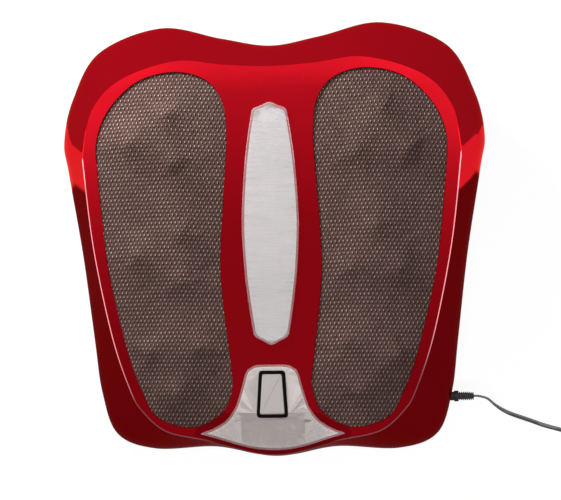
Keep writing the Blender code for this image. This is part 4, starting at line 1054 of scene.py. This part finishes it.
    def build_shell(self, looks: Finishes) -> None:
        """The skirt with its rounded shoulder, which replaces the CAD one."""
        belt, rim = self.outlines()
        rim = moved_out(rim, -self.rim_inset)
        columns = []
        for i, spot in enumerate(belt):
            along = (belt[(i + 1) % len(belt)] - belt[i - 1]).normalized()
            columns.append(self.shell_section(rim[i], spot, Vector((-along.y, along.x))))
        bm = bmesh.new()
        loft(bm, list(zip(*columns)))
        shell = finished(bm, "housing_shell", "housing", looks.red, ["body_shell"], 50.0)
        rings = self.straight_steps + self.round_steps + 1
        self.even_shading(shell, [section[:rings] for section in columns])

    def even_shading(self, shell: bpy.types.Object, columns: Sequence[Points]) -> None:
        """Evens out the shading along the wall, so that reflections end in clean lines.

        Args:
            shell: The shell.
            columns: Its wall's sections from the rim down, which are evened out.
        """
        mesh, reach = shell.data, self.shading_reach
        places = {tuple(spot): (ring, column) for column, section in enumerate(columns)
                  for ring, spot in enumerate(section)}
        keys = [places.get(tuple(vert.co)) for vert in mesh.vertices]
        found = {key: vert.normal.copy() for key, vert in zip(keys, mesh.vertices) if key}
        kept = {}
        for ring, column in found:
            near = [found[max(ring, 1), (column + step) % len(columns)]
                    * (reach + 1 - abs(step)) for step in range(-reach, reach + 1)]
            kept[ring, column] = tuple(sum(near, Vector()).normalized())
        corners = [tuple(normal.vector) for normal in mesh.corner_normals]
        for face in mesh.polygons:
            spots = [keys[vert] for vert in face.vertices]
            if None not in spots:
                for i, spot in zip(face.loop_indices, spots):
                    corners[i] = kept[spot]
        mesh.normals_split_custom_set(corners)

    def cut_bends(self, bm: BMesh, step: float) -> None:
        """Cuts a flat sheet where the nose bends down and where it fades out.

        Args:
            bm: The flat sheet.
            step: Distance between the lines that run across the nose.
        """
        cut_lines(bm, [self.nose_start - step * i for i in range(self.bend_lines)], AHEAD)
        cut_lines(bm, [side * (self.nose_flat_half + self.nose_fade * i / self.fade_steps)
                       for i in range(self.fade_steps + 1) for side in (1, -1)], ASIDE)

    def build_cover(self, looks: Finishes, key_hole: Points) -> None:
        """The cover with its rounded edges, its wells and the key's opening.

        Args:
            looks: The finishes.
            key_hole: Outline of the opening for the power key.
        """
        bm = bmesh.new()
        holes = (self.well(Side.RIGHT), self.well(Side.LEFT), key_hole)
        soft_sheet(bm, [(self.outlines()[1], self.edge_width, self.edge_fall)]
                   + [(hole_and_painted_shade, self.well_edge, self.well_edge) for hole_and_painted_shade in holes],
                   ((0.0, 1.0),), 1)
        self.cut_bends(bm, self.bend_step)
        plate(bm, self.surface, self.wall)
        cover = finished(bm, "deck_cover", "housing", looks.red, ["top_cover"], 12.0, False)
        # The outer chamfer takes the second slot, whose pale colour is a painted highlight.
        cover.data.materials.append(looks.red_edge)
        true_shading(cover, self.surface)


# Mesh covers


@dataclass
class MeshCover:
    """One well's stretched mesh, with a round patch over each head that turns with it."""

    housing: Housing
    side: Side
    heads: tuple = (("toe", 0.1065, 0.09), ("arch", 0.09786, -0.01993),
                    ("heel", 0.09, -0.12))
    phases: tuple = (90.0, 88.0, 15.0)
    knob_circle: float = 0.026
    peak: float = 0.0102
    cap_radius: float = 0.0036
    cap_fall: float = 0.0009
    cap_points: int = 12
    ring_radius: float = 0.0365
    ring_points: int = 72
    cell: float = 0.0034
    edge_drop: float = 0.0022
    under_cover: float = 0.0028
    hem: float = 0.0022
    cutting_rounds: int = 6
    longest: float = 1.35
    smoothing_rounds: int = 6
    relax_rounds: int = 420
    softening_rounds: int = 2
    near_circle: float = 2e-5
    cap_hold: float = 1.02
    flat_size: tuple = (0.13, 0.335)
    flat_shares: tuple = (0.97, 0.98)

    def to_deck(self) -> Matrix:
        """The matrix from the deck's own plane, with z up, to the world."""
        tilt = Matrix.Rotation(math.atan(self.housing.deck_slope), 4, "X")
        return Matrix.Translation((0, 0, self.housing.deck_height)) @ tilt

    def flat(self, x: float, y: float) -> Vector:
        """A plan place in the deck's own plane."""
        return Vector((x, y / math.cos(math.atan(self.housing.deck_slope))))

    def knobs(self, head: int) -> list[Vector]:
        """Places of a head's three knobs in the deck's plane."""
        _, x, y = self.heads[head]
        centre = self.flat(self.side.value * x, y)
        angles = [math.radians(self.phases[head]) + 2 * math.pi * k / 3 for k in range(3)]
        return [centre + Vector((math.cos(a), math.sin(a))) * self.knob_circle for a in angles]

    def kept(self, vert: BMVert, marks: Sequence[tuple[Vector, float]]) -> bool:
        """Whether a point is on the border or on one of the drawn circles."""
        spot = vert.co.to_2d()
        return vert.is_boundary or any(abs((spot - centre).length - radius)
                                       < self.near_circle for centre, radius in marks)

    def even_out(self, bm: BMesh, marks: Sequence[tuple[Vector, float]]) -> None:
        """Cuts long edges and evens out the cells, with the drawn circles kept.

        Args:
            bm: The flat sheet.
            marks: Centre and radius of each circle.
        """
        for _ in range(self.cutting_rounds):
            long = [e for e in bm.edges if e.calc_length() > self.longest * self.cell]
            if long:
                bmesh.ops.subdivide_edges(bm, edges=long, cuts=1, use_grid_fill=False)
            bmesh.ops.triangulate(bm, faces=[f for f in bm.faces if len(f.verts) > 3])
            fixed = {v for v in bm.verts if self.kept(v, marks)}
            loose = [e for e in bm.edges if not (e.verts[0] in fixed and e.verts[1] in fixed)]
            bmesh.ops.beautify_fill(bm, faces=bm.faces[:], edges=loose, method="ANGLE")
            free = [v for v in bm.verts if v not in fixed]
            for _ in range(self.smoothing_rounds):
                bmesh.ops.smooth_vert(bm, verts=free, factor=0.5, use_axis_x=True,
                                      use_axis_y=True)

    def draped(self) -> tuple[BMesh, list[Vector]]:
        """The whole membrane over the well, pinned at its edge and over the knobs.

        Returns:
            The mesh in the deck's frame, and the centres of the three heads.
        """
        bm = bmesh.new()
        edge_plan = moved_out(self.housing.well(self.side), self.under_cover)
        edges = loop_edges(ring(bm, [self.flat(*p) for p in edge_plan]))
        centres = [self.flat(self.side.value * x, y) for _, x, y in self.heads]
        knobs = [self.knobs(head) for head in range(3)]
        spots = [spot for group in knobs for spot in group]
        rings = []
        for centre, group in zip(centres, knobs):
            verts = ring(bm, circle(centre, self.ring_radius, self.ring_points))
            rings.append((verts, [ring(bm, circle(spot, self.cap_radius, self.cap_points))
                                  for spot in group]))
            edges += loop_edges(verts)
        fill(bm, edges)
        for verts, caps in rings:
            fill(bm, [e for part in (verts, *caps) for e in loop_edges(part)])
            for cap in caps:
                fill(bm, loop_edges(cap))
        self.even_out(bm, [(centre, self.ring_radius) for centre in centres]
                      + [(spot, self.cap_radius) for spot in spots])
        held = set()
        squash = math.cos(math.atan(self.housing.deck_slope))
        for vert in bm.verts:
            plan = (vert.co.x, vert.co.y * squash)
            reach = min((vert.co.to_2d() - spot).length for spot in spots)
            if vert.is_boundary:
                vert.co.z = (self.housing.surface(*plan) - self.housing.plane(*plan)
                             - self.edge_drop)
                held.add(vert)
            elif reach < self.cap_radius * self.cap_hold:
                vert.co.z = self.peak - self.cap_fall * (reach / self.cap_radius) ** 2
                held.add(vert)
        free = [v for v in bm.verts if v not in held]
        for _ in range(self.relax_rounds):
            bmesh.ops.smooth_vert(bm, verts=free, factor=1.0, use_axis_z=True)
        soft = [v for v in bm.verts if not v.is_boundary]
        for _ in range(self.softening_rounds):
            bmesh.ops.smooth_vert(bm, verts=soft, factor=0.5, use_axis_z=True)
        return bm, centres

    def build(self, looks: Finishes) -> None:
        """Makes the main mesh and the three patches.

        Args:
            looks: The finishes.
        """
        word = self.side.word
        whole, centres = self.draped()
        whole.transform(self.to_deck())
        bmesh.ops.recalc_face_normals(whole, faces=whole.faces[:])
        if sum(f.normal.z for f in whole.faces) < 0:
            bmesh.ops.reverse_faces(whole, faces=whole.faces[:])
        whole.normal_update()
        normals = {tuple(round(c, 6) for c in v.co): v.normal.copy() for v in whole.verts}
        back = self.to_deck().inverted()
        for part in range(4):
            main = part == 3
            head = "" if main else self.heads[part][0]
            bm = whole.copy()
            drop = []
            for face in bm.faces:
                spot = (back @ face.calc_center_median()).to_2d()
                near = min(range(3), key=lambda k: (spot - centres[k]).length)
                over = near if (spot - centres[near]).length < self.ring_radius else 3
                if over != part:
                    drop.append(face)
            bmesh.ops.delete(bm, geom=drop, context="FACES")
            area = sum(f.calc_area() for f in bm.faces) * self.flat_shares[main]
            self.turn_hem(bm)
            cover = finished(bm, f"{word}_well_mesh" if main else f"{word}_{head}_mesh_patch",
                             "housing" if main else f"{word}_{head}_massager", looks.mesh,
                             [f"{word}_mesh_cover"] if main else [], 60.0, False)
            self.keep_normals(cover, normals)
        whole.free()

    def turn_hem(self, bm: BMesh) -> None:
        """Turns every border of a mesh piece down, so that its edge has a thickness."""
        border = [e for e in bm.edges if e.is_boundary]
        made = bmesh.ops.extrude_edge_only(bm, edges=border)["geom"]
        bmesh.ops.translate(bm, verts=[g for g in made if isinstance(g, BMVert)],
                            vec=(0, 0, -self.hem))

    @staticmethod
    def keep_normals(cover: bpy.types.Object, normals: dict) -> None:
        """Gives a piece the shading of the whole membrane, so that no seam shows.

        Args:
            cover: One piece of the membrane.
            normals: The membrane's normal at each place.
        """
        kept = [normals.get(tuple(round(c, 6) for c in vert.co), vert.normal)
                for vert in cover.data.vertices]
        cover.data.normals_split_custom_set_from_vertices([tuple(n) for n in kept])


# Panels and key


@dataclass
class Panels:
    """The spine panel, the control panel and the power key with its bezel."""

    housing: Housing
    spine_middle: float = 0.0105
    spine_length: float = 0.227
    spine_half: float = 0.0268
    spine_shares: tuple = ((0.0, 1.0), (0.30, 0.972), (0.57, 0.945), (0.65, 0.885),
                           (0.82, 0.62), (0.925, 0.37), (1.0, 0.0), (0.925, -0.37),
                           (0.82, -0.60), (0.655, -0.86), (0.57, -0.93), (0.30, -0.968),
                           (0.0, -1.0))
    spine_edge: float = 0.0021
    drawn_points: int = 200
    foil_top: float = 0.0009
    foil_thickness: float = 0.0006
    window_thickness: float = 0.0009
    window_edge: float = 0.0003
    rim_width: float = 0.0005
    lens_low: float = 0.0012
    lens_thickness: float = 0.0018
    control_top: float = -0.1215
    control_length: float = 0.0825
    control_half: float = 0.067
    control_shares: tuple = ((0.0, 0.0), (0.21, 0.004), (0.30, 0.035), (0.365, 0.09),
                             (0.430, 0.27), (0.500, 0.45), (0.565, 0.54), (0.665, 0.63),
                             (0.84, 0.715), (1.0, 0.765), (0.94, 0.787), (0.74, 0.834),
                             (0.50, 0.893), (0.25, 0.938), (0.0, 0.952))
    control_low: float = 0.0003
    control_thickness: float = 0.0014
    control_lens: float = 0.0006
    control_edge: float = 0.0019
    bend_step: float = 0.003
    bezel_top: float = -0.1272
    bezel_length: float = 0.0430
    bezel_top_half: float = 0.0120
    bezel_bottom_half: float = 0.0146
    bezel_corner: float = 0.0030
    bezel_wall: float = 0.0026
    bezel_proud: float = 0.0024
    bezel_depth: float = 0.0095
    bezel_fall: float = 0.0004
    key_proud: float = 0.0021
    key_depth: float = 0.0057
    key_edge: float = 0.0011
    key_fall: float = 0.0005

    def key_outline(self, inset: float) -> list[Vector]:
        """The key's rounded trapezoid, drawn in by the inset."""
        top = self.bezel_top - inset
        bottom = self.bezel_top - self.bezel_length + inset
        corners = [Vector((-self.bezel_bottom_half + inset, bottom)),
                   Vector((self.bezel_bottom_half - inset, bottom)),
                   Vector((self.bezel_top_half - inset, top)),
                   Vector((-self.bezel_top_half + inset, top))]
        return rounded(corners, max(self.bezel_corner - inset / 2, self.bezel_corner / 2), 8)

    @staticmethod
    def lay(bm: BMesh, name: str, look: bpy.types.Material, slot: str, deck: Height,
            level: float, depth: float, replaces: Sequence[str], sharp: float,
            body: str = "housing") -> bpy.types.Object:
        """Makes a plate of a flat sheet, at a level over the deck.

        Args:
            bm: The flat sheet.
            name: The piece's name.
            look: Its material.
            slot: The part's material slot that it stands for; not used.
            deck: Height of the deck under it.
            level: Height of its upper face over the deck.
            depth: Its thickness.
            replaces: CAD nodes that it stands for.
            sharp: Angle in degrees past which an edge stays crisp.
            body: The body that it rides on.

        Returns:
            The new piece.
        """
        plate(bm, lambda x, y: deck(x, y) + level, depth)
        made = finished(bm, name, body, look, replaces, sharp, False)
        return made

    def build_spine(self, looks: Finishes) -> None:
        """The silver inlay and the clear lens over it."""
        outline = mirrored(self.spine_shares, self.spine_half, self.spine_middle,
                           -self.spine_length / 2, 6)
        bm = bmesh.new()
        filled(bm, [drawn_in(outline, self.spine_edge, self.drawn_points)])
        self.lay(bm, "spine_foil", looks.silver, "silver_panel", self.housing.plane,
                 self.foil_top, self.foil_thickness, ["spine_inlay"], 5.0)
        bm = bmesh.new()
        soft_sheet(bm, [(outline, self.window_edge, self.window_edge)])
        self.lay(bm, "spine_window", looks.lens, "clear_lens", self.housing.plane,
                 self.lens_low + self.lens_thickness, self.window_thickness, ["spine_lens"],
                 5.0)

    def build_control(self, looks: Finishes) -> None:
        """The bell-shaped silver panel and its clear cover, which bend down with the nose."""
        outline = mirrored(self.control_shares, self.control_half, self.control_top,
                           self.control_length, 6)
        top = self.control_low + self.control_thickness
        for name, border, level, depth, look, slot, replaces in (
                ("control_foil", drawn_in(outline, self.control_edge, self.drawn_points),
                 top - self.control_lens, self.control_thickness - self.control_lens,
                 looks.panel, "silver_panel", ["control_inlay"]),
                ("control_window", outline, top, self.control_lens, looks.lens, "clear_lens",
                 [])):
            bm = bmesh.new()
            soft_sheet(bm, [(loop, self.rim_width, depth / 3)
                            for loop in (border, self.key_outline(-self.housing.seam))])
            self.housing.cut_bends(bm, self.bend_step)
            panel = self.lay(bm, name, look, slot, self.housing.surface, level, depth,
                             replaces, 12.0)
            true_shading(panel, self.housing.surface)

    def build_key(self, looks: Finishes) -> None:
        """The black bezel and the sprung silver key in it."""
        bm = bmesh.new()
        soft_sheet(bm, [(self.key_outline(inset), self.rim_width, self.bezel_fall)
                        for inset in (0.0, self.bezel_wall)])
        self.lay(bm, "key_bezel", looks.piano, "black_gloss", self.housing.plane,
                 self.bezel_proud, self.bezel_proud + self.bezel_depth, ["button_bezel"],
                 50.0)
        bm = bmesh.new()
        soft_sheet(bm, [(self.key_outline(self.bezel_wall + self.housing.seam),
                         self.key_edge, self.key_fall)])
        key = self.lay(bm, "power_key", looks.button, "silver_panel", self.housing.plane,
                       self.key_proud, self.key_proud + self.key_depth, ["power_button"],
                       50.0, "power_button_body")
        true_shading(key, self.housing.plane)

    def build(self, looks: Finishes) -> None:
        """Makes every panel."""
        self.build_spine(looks)
        self.build_control(looks)
        self.build_key(looks)


# Lead


@dataclass
class Lead:
    """The low-voltage lead: strain relief, flat twin cord, coil and wall adapter."""

    relief: Vector = field(default_factory=lambda: Vector((0.1718, -0.1490, 0.0205)))
    sleeve: float = 0.0185
    exit_gap: float = 0.0003
    collar: float = 0.0040
    collar_radius: float = 0.0052
    collar_edge: tuple = (0.0002, 0.0003)
    neck: float = 0.0075
    neck_radius: float = 0.0042
    ribs: int = 8
    rib_radius: float = 0.0041
    rib_taper: float = 0.12
    rib_foot: float = 0.0001
    rib_shares: tuple = (0.40, 0.48, 0.92)
    sleeve_facets: int = 32
    groove: float = 0.0011
    painted_groove_shade_radius: float = 0.0034
    tip_radius: float = 0.0026
    width: float = 0.0040
    strand: float = 0.00105
    lobe_steps: int = 8
    lobe_turn: float = 125.0
    turn_start: float = 0.205
    turn_length: float = 0.030
    lowered: float = 0.0008
    ending: float = 0.0036
    flow_steps: int = 10
    run_points: tuple = (46, 26)
    route: tuple = ((0.2034, -0.1512, 0.0178), (0.2098, -0.1558, 0.0110),
                    (0.2168, -0.1604, 0.0052), (0.2253, -0.1648, 0.0024),
                    (0.2368, -0.1690, 0.0019), (0.2482, -0.1730, 0.0019),
                    (0.2586, -0.1768, 0.0019), (0.2746, -0.1812, 0.0019),
                    (0.2920, -0.1862, 0.0019), (0.3070, -0.1888, 0.0019))
    coil_centre: Vector = field(default_factory=lambda: Vector((0.337, -0.142)))
    coil_inner: float = 0.034
    coil_turns: int = 3
    coil_pitch: float = 0.0042
    loop_points: int = 36
    layer: float = 0.0023
    adapter: Vector = field(default_factory=lambda: Vector((0.4036, -0.098, 0.013)))
    adapter_size: Vector = field(default_factory=lambda: Vector((0.030, 0.058, 0.026)))
    adapter_bevel: float = 0.004
    adapter_seam: tuple = (0.0005, 0.0009)
    boot_reach: float = 0.0123
    boot_profile: tuple = ((0.0, -0.0408), (0.0030, -0.0408), (0.0033, -0.0400),
                           (0.0036, -0.0360), (0.0040, -0.0300), (0.0042, -0.0270),
                           (0.0, -0.0270))
    boot_facets: int = 28
    pin_size: tuple = (0.0016, 0.018, 0.0062)
    pin_bevel: float = 0.0005
    pin_apart: float = 0.00635
    pin_out: float = 0.007

    def coil(self) -> list[Vector]:
        """The coil's points: it spirals in, climbs a layer and spirals out."""
        turn = 2 * math.pi
        points = []
        for i in range(2 * self.coil_turns * self.loop_points + 1):
            from_turn = turn * (i / self.loop_points - self.coil_turns)
            radius = self.coil_inner + self.coil_pitch * abs(from_turn) / turn
            climb = min(max(from_turn / math.pi + 0.5, 0.0), 1.0)
            angle = from_turn - math.pi / 2 + turn * self.coil_turns
            points.append(Vector((self.coil_centre.x + radius * math.cos(angle),
                                  self.coil_centre.y + radius * math.sin(angle),
                                  self.strand + climb * self.layer)))
        return points

    def path(self) -> list[Vector]:
        """The cord's whole centre line, from the sleeve to the adapter's boot."""
        start = self.relief + ASIDE * (self.sleeve + self.exit_gap)
        free = [start, start + ASIDE * self.width]
        free += [Vector((x, y, max(z - self.lowered, self.strand))) for x, y, z in self.route]
        coil = self.coil()
        end = coil[-1]
        boot = self.adapter - AHEAD * (self.adapter_size.y / 2 + self.boot_reach)
        bend = Vector((boot.x, (end.y + boot.y) / 2, (end.z + boot.z) / 2))
        last = [end, end + ASIDE * self.ending, bend, boot - AHEAD * self.ending, boot]
        run_in, run_out = (even(flowing(run, self.flow_steps, False), count, False)
                           for run, count in zip((free + [coil[0]], last), self.run_points))
        return run_in + coil[1:-1] + run_out

    def tilt(self, point: Vector) -> float:
        """How far the flat cord stands on edge: upright at the sleeve, flat past it."""
        return math.pi / 2 * (1 - ease((point.x - self.turn_start) / self.turn_length))

    def paint_low_strand_shade(self, cord: bpy.types.Object, path: Points) -> None:
        """Gives the strand on the cord's low, near side a darker grey as painted shade.

        Args:
            cord: The cord, whose second material is the darker one.
            path: Its centre line.
        """
        tree = KDTree(len(path))
        for i, point in enumerate(path):
            tree.insert(point, i)
        tree.balance()
        for part in cord.data.polygons:
            i = tree.find(part.center)[1]
            way = (path[min(i + 1, len(path) - 1)] - path[max(i - 1, 0)]).normalized()
            turn = self.tilt(path[i])
            low = way.cross(UP) * math.cos(turn) - UP * math.sin(turn)
            # Painted shade: faces on the low side of the path take the darker finish.
            part.material_index = int((part.center - path[i]).dot(low) > 0)

    def tube(self, path: Points) -> BMesh:
        """The twin cord's mesh along a path, on edge at its sleeve and then flat.

        Args:
            path: The cord's centre line.

        Returns:
            The mesh of a curve with the twin outline.
        """
        reach = self.width / 2 - self.strand
        angles = [math.radians(self.lobe_turn * (2 * i / self.lobe_steps - 1))
                  for i in range(self.lobe_steps + 1)]
        shape = [(side * (reach + self.strand * math.cos(a)),
                  side * self.strand * math.sin(a), 0) for side in (1, -1) for a in angles]
        outline = drawn_curve("twin_profile", "2D", shape)
        outline.data.splines[0].use_cyclic_u = True
        runner = drawn_curve("twin_path", "3D", path)
        curve = runner.data
        curve.twist_mode = "Z_UP"
        curve.bevel_mode = "OBJECT"
        curve.bevel_object = outline
        curve.use_fill_caps = True
        for slot, point in zip(curve.splines[0].points, path):
            slot.tilt = self.tilt(point)
        depsgraph = bpy.context.evaluated_depsgraph_get()
        mesh = bpy.data.meshes.new_from_object(runner.evaluated_get(depsgraph))
        for part in (outline, runner):
            bpy.data.objects.remove(part)
        bm = bmesh.new()
        bm.from_mesh(mesh)
        bpy.data.meshes.remove(mesh)
        bmesh.ops.remove_doubles(bm, verts=bm.verts[:], dist=WELD)
        return bm

    def build_cord(self, looks: Finishes) -> None:
        """The flat twin cord from the sleeve to the adapter."""
        path = self.path()
        cord = finished(self.tube(path), "twin_lead", "housing", looks.cord,
                        ["cord_lead", "cord_coil", "cord_tail"], 60.0)
        # The second finish paints shade on the cord's low strand.
        cord.data.materials.append(looks.strand)
        self.paint_low_strand_shade(cord, path)
        # The lacquer mirrors neither cord nor adapter: in the photograph they lie elsewhere.
        cord.visible_glossy = False

    def build_relief(self, looks: Finishes) -> None:
        """The collar at the wall and the ribbed sleeve, whose grooves take the collar's dark
        finish as painted shade.
        """
        inward, along = self.collar_edge
        shoulder = self.collar_radius - inward
        profile = [(0.0, -self.neck), (self.neck_radius, -self.neck), (self.neck_radius, 0.0),
                   (shoulder, 0.0), (self.collar_radius, along),
                   (self.collar_radius, self.collar - along), (shoulder, self.collar)]
        length = (self.sleeve - self.collar) / self.ribs
        for rib in range(self.ribs):
            radius = self.rib_radius * (1 - self.rib_taper * (rib / (self.ribs - 1)) ** 4)
            start = self.collar + length * rib
            floor, rise, top = (start + length * share for share in self.rib_shares)
            profile += [(radius - self.groove, start + self.rib_foot),
                        (radius - self.groove, floor), (radius, rise), (radius, top)]
        profile += [(self.tip_radius, self.sleeve), (0.0, self.sleeve)]
        bm = turned(profile, self.sleeve_facets, "X")
        bm.transform(Matrix.Translation(self.relief))
        sleeve = finished(bm, "strain_sleeve", "housing", looks.sleeve, ["strain_relief"])
        sleeve.data.materials.append(looks.collar)
        # The collar is dark of itself; deep in the grooves the same dark is painted shade.
        for part in sleeve.data.polygons:
            place = part.center - self.relief
            part.material_index = int(place.x < self.collar + 10 * WELD
                                      or math.hypot(place.y, place.z) < self.painted_groove_shade_radius)

    def build_adapter(self, looks: Finishes) -> None:
        """The wall adapter with its boot, a seam round its middle and two flat pins."""
        size, (seam_width, seam_depth) = self.adapter_size, self.adapter_seam
        bm = boxed(size, self.adapter_bevel, 5)
        cut_lines(bm, [0.0], UP)
        seam = [e for e in bm.edges if all(abs(v.co.z) < WELD for v in e.verts)]
        fresh = bevelled(bm, seam, seam_width, 2)
        for vert in {v for f in fresh for v in f.verts if abs(v.co.z) < WELD}:
            vert.co.x *= 1 - seam_depth / size.x
            vert.co.y *= 1 - seam_depth / size.y
        parts = [bm, turned(self.boot_profile, self.boot_facets, "Y")]
        for side in (-1, 1):
            pin = boxed(self.pin_size, self.pin_bevel, 2)
            bmesh.ops.translate(pin, verts=pin.verts[:],
                                vec=(side * self.pin_apart, size.y / 2 + self.pin_out, 0))
            parts.append(pin)
        whole = joined(parts)
        whole.transform(Matrix.Translation(self.adapter))
        body = finished(whole, "adapter_body", "housing", looks.adapter, ["wall_adapter"])
        body.visible_glossy = False

    def build(self, looks: Finishes) -> None:
        """Makes the whole lead."""
        self.build_relief(looks)
        self.build_adapter(looks)
        self.build_cord(looks)


# Studio


@dataclass
class Studio:
    """The camera at the photograph's angle, the pale floor and the soft lights."""

    eye: Vector = field(default_factory=lambda: Vector((0.0958, -0.2047, 1.2409)))
    aim: Vector = field(default_factory=lambda: Vector((0.00729, -0.0105, 0.060)))
    heading: float = 24.5
    roll: float = -25.0
    lens: float = 80.24
    sensor: float = 36.0
    clip: tuple = (0.05, 20.0)
    floor_half: float = 3.0
    soft_share: float = 0.20
    band: float = 1.1
    far_steps: tuple = ((-0.06, 0.13, 0.29, 0.72), (0.066, 0.090, 0.0, 0.40))
    corner_steps: tuple = ((-0.17, 0.11, -0.12, 0.50), (0.0, 0.05, 0.0, 0.22))
    corner_shift: float = 0.08
    corner_aside: tuple = (0.04, 0.16)
    behind: tuple = (0.22, 0.42)
    least_aside: float = 0.02
    ceiling_from: tuple = (0.5, 0.85)
    band_foot: tuple = (0.46, 0.50)
    band_top: tuple = (0.76, 0.79)
    band_near: tuple = (-0.60, -0.25)
    band_far: tuple = (0.22, 0.26)
    lamps: tuple = (
        ("key", (-0.33, 0.50, 0.38), (0.34, 0.20), (0.0, 0.0, 0.08), 7.2),
        ("fill", (0.10, -0.80, 1.35), (0.9, 0.5), (0.0, -0.05, 0.08), 9.5))

    def build_camera(self) -> None:
        """Places the camera."""
        data = bpy.data.cameras.new("view")
        data.lens, data.sensor_width = self.lens, self.sensor
        data.clip_start, data.clip_end = self.clip
        ahead = (self.aim - self.eye).normalized()
        a = math.radians(self.heading)
        right = Vector((math.cos(a), math.sin(a), 0.0))
        up = right.cross(ahead)
        r = math.radians(self.roll)
        right, up = (right * math.cos(r) + up * math.sin(r),
                     up * math.cos(r) - right * math.sin(r))
        camera = placed("view", data)
        camera.matrix_world = Matrix((
            (right.x, up.x, -ahead.x, self.eye.x), (right.y, up.y, -ahead.y, self.eye.y),
            (right.z, up.z, -ahead.z, self.eye.z), (0, 0, 0, 1)))
        bpy.context.scene.camera = camera

    def build_lights(self) -> None:
        """Places the lamps, which never show in reflections."""
        for name, place, size, target, power in self.lamps:
            data = bpy.data.lights.new(name, "AREA")
            data.shape = "RECTANGLE"
            data.size, data.size_y = size
            data.energy = power
            lamp = placed(name, data)
            lamp.location = place
            lamp.rotation_euler = (Vector(target) - Vector(place)
                                   ).to_track_quat("-Z", "Y").to_euler()
            lamp.visible_glossy = False

    def build_floor(self) -> None:
        """Lays the pale floor."""
        bm = bmesh.new()
        bmesh.ops.create_grid(bm, x_segments=4, y_segments=4, size=self.floor_half)
        mesh = bpy.data.meshes.new("floor")
        bm.to_mesh(mesh)
        bm.free()
        mesh.materials.append(Paper("pale_sweep").material())
        placed("floor", mesh)

    def build_world(self) -> None:
        """A softly graded ceiling round the object, which looks white to the camera."""
        world = bpy.data.worlds.new("surround")
        bpy.context.scene.world = world
        world.use_nodes = True
        g = Graph("ceiling_sketch")
        bpy.data.materials.remove(g.material)
        g.tree = world.node_tree
        levels = Surround()
        way = g.node("ShaderNodeSeparateXYZ",
                     Vector=g.node("ShaderNodeTexCoord").outputs["Generated"]).outputs
        far, corner = (g.plus(*(g.spread(way[1], *step) for step in steps))
                       for steps in (self.far_steps, self.corner_steps))
        aside = g.spread(g.sum("ABSOLUTE", g.plus(way[0], self.corner_shift)),
                         *self.corner_aside)
        behind = g.spread(way[1], *self.behind)
        ceiling = g.sum("MULTIPLY_ADD", g.plus(far, g.times(aside, corner)),
                        g.less(1.0, behind), g.times(behind, levels.far))
        turn = g.sum("DIVIDE", way[1],
                     g.sum("MAXIMUM", g.sum("ABSOLUTE", way[0]), self.least_aside))
        ahead = g.less(turn, levels.sided(g, way[0], levels.card_low))
        low = levels.graded(g, g.spread(ahead, -levels.blur, levels.blur),
                            g.spread(turn, levels.card_high - levels.blur,
                                     levels.card_high + levels.blur))
        high = g.spread(way[2], *self.ceiling_from)
        level = g.plus(g.times(ceiling, high), g.times(g.less(1.0, high), low))
        rays = g.node("ShaderNodeLightPath").outputs
        band = g.times(g.spread(way[2], *self.band_foot, 0.0, self.band),
                       g.spread(way[2], *self.band_top, 1.0, 0.0))
        span = g.times(g.spread(turn, *self.band_near),
                       g.spread(turn, *self.band_far, 1.0, 0.0))
        level = g.plus(level, g.times(g.times(band, span), rays["Is Glossy Ray"]))
        soft = g.less(1.0, g.times(rays["Is Diffuse Ray"], 1.0 - self.soft_share))
        shade = g.tree.nodes["Background"]
        shade.inputs["Color"].default_value = WHITE
        g.feed(shade.inputs["Strength"], g.times(level, soft))
        white = g.node("ShaderNodeBackground", Color=WHITE, Strength=1.0)
        g.feed(g.tree.nodes["World Output"].inputs["Surface"],
               g.mixed("ShaderNodeMixShader", shade.outputs[0], white.outputs[0],
                       rays["Is Camera Ray"]))

    def build(self) -> None:
        """Makes the whole studio."""
        self.build_camera()
        self.build_floor()
        self.build_world()
        self.build_lights()
        bpy.context.scene.view_settings.view_transform = "Standard"


def main() -> None:
    """Builds every sub-assembly in order."""
    logging.basicConfig(level=logging.INFO, format="%(message)s")
    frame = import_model()
    Studio().build()
    looks = Finishes()
    looks.dress_nodes(frame["nodes"])
    Lead().build(looks)
    housing = Housing()
    panels = Panels(housing)
    housing.build_shell(looks)
    housing.build_cover(looks, panels.key_outline(-housing.seam))
    panels.build(looks)
    MeshCover(housing, Side.RIGHT).build(looks)
    MeshCover(housing, Side.LEFT, phases=(66.0, 58.0, 34.0)).build(looks)
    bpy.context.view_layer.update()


if __name__ == "__main__":
    main()
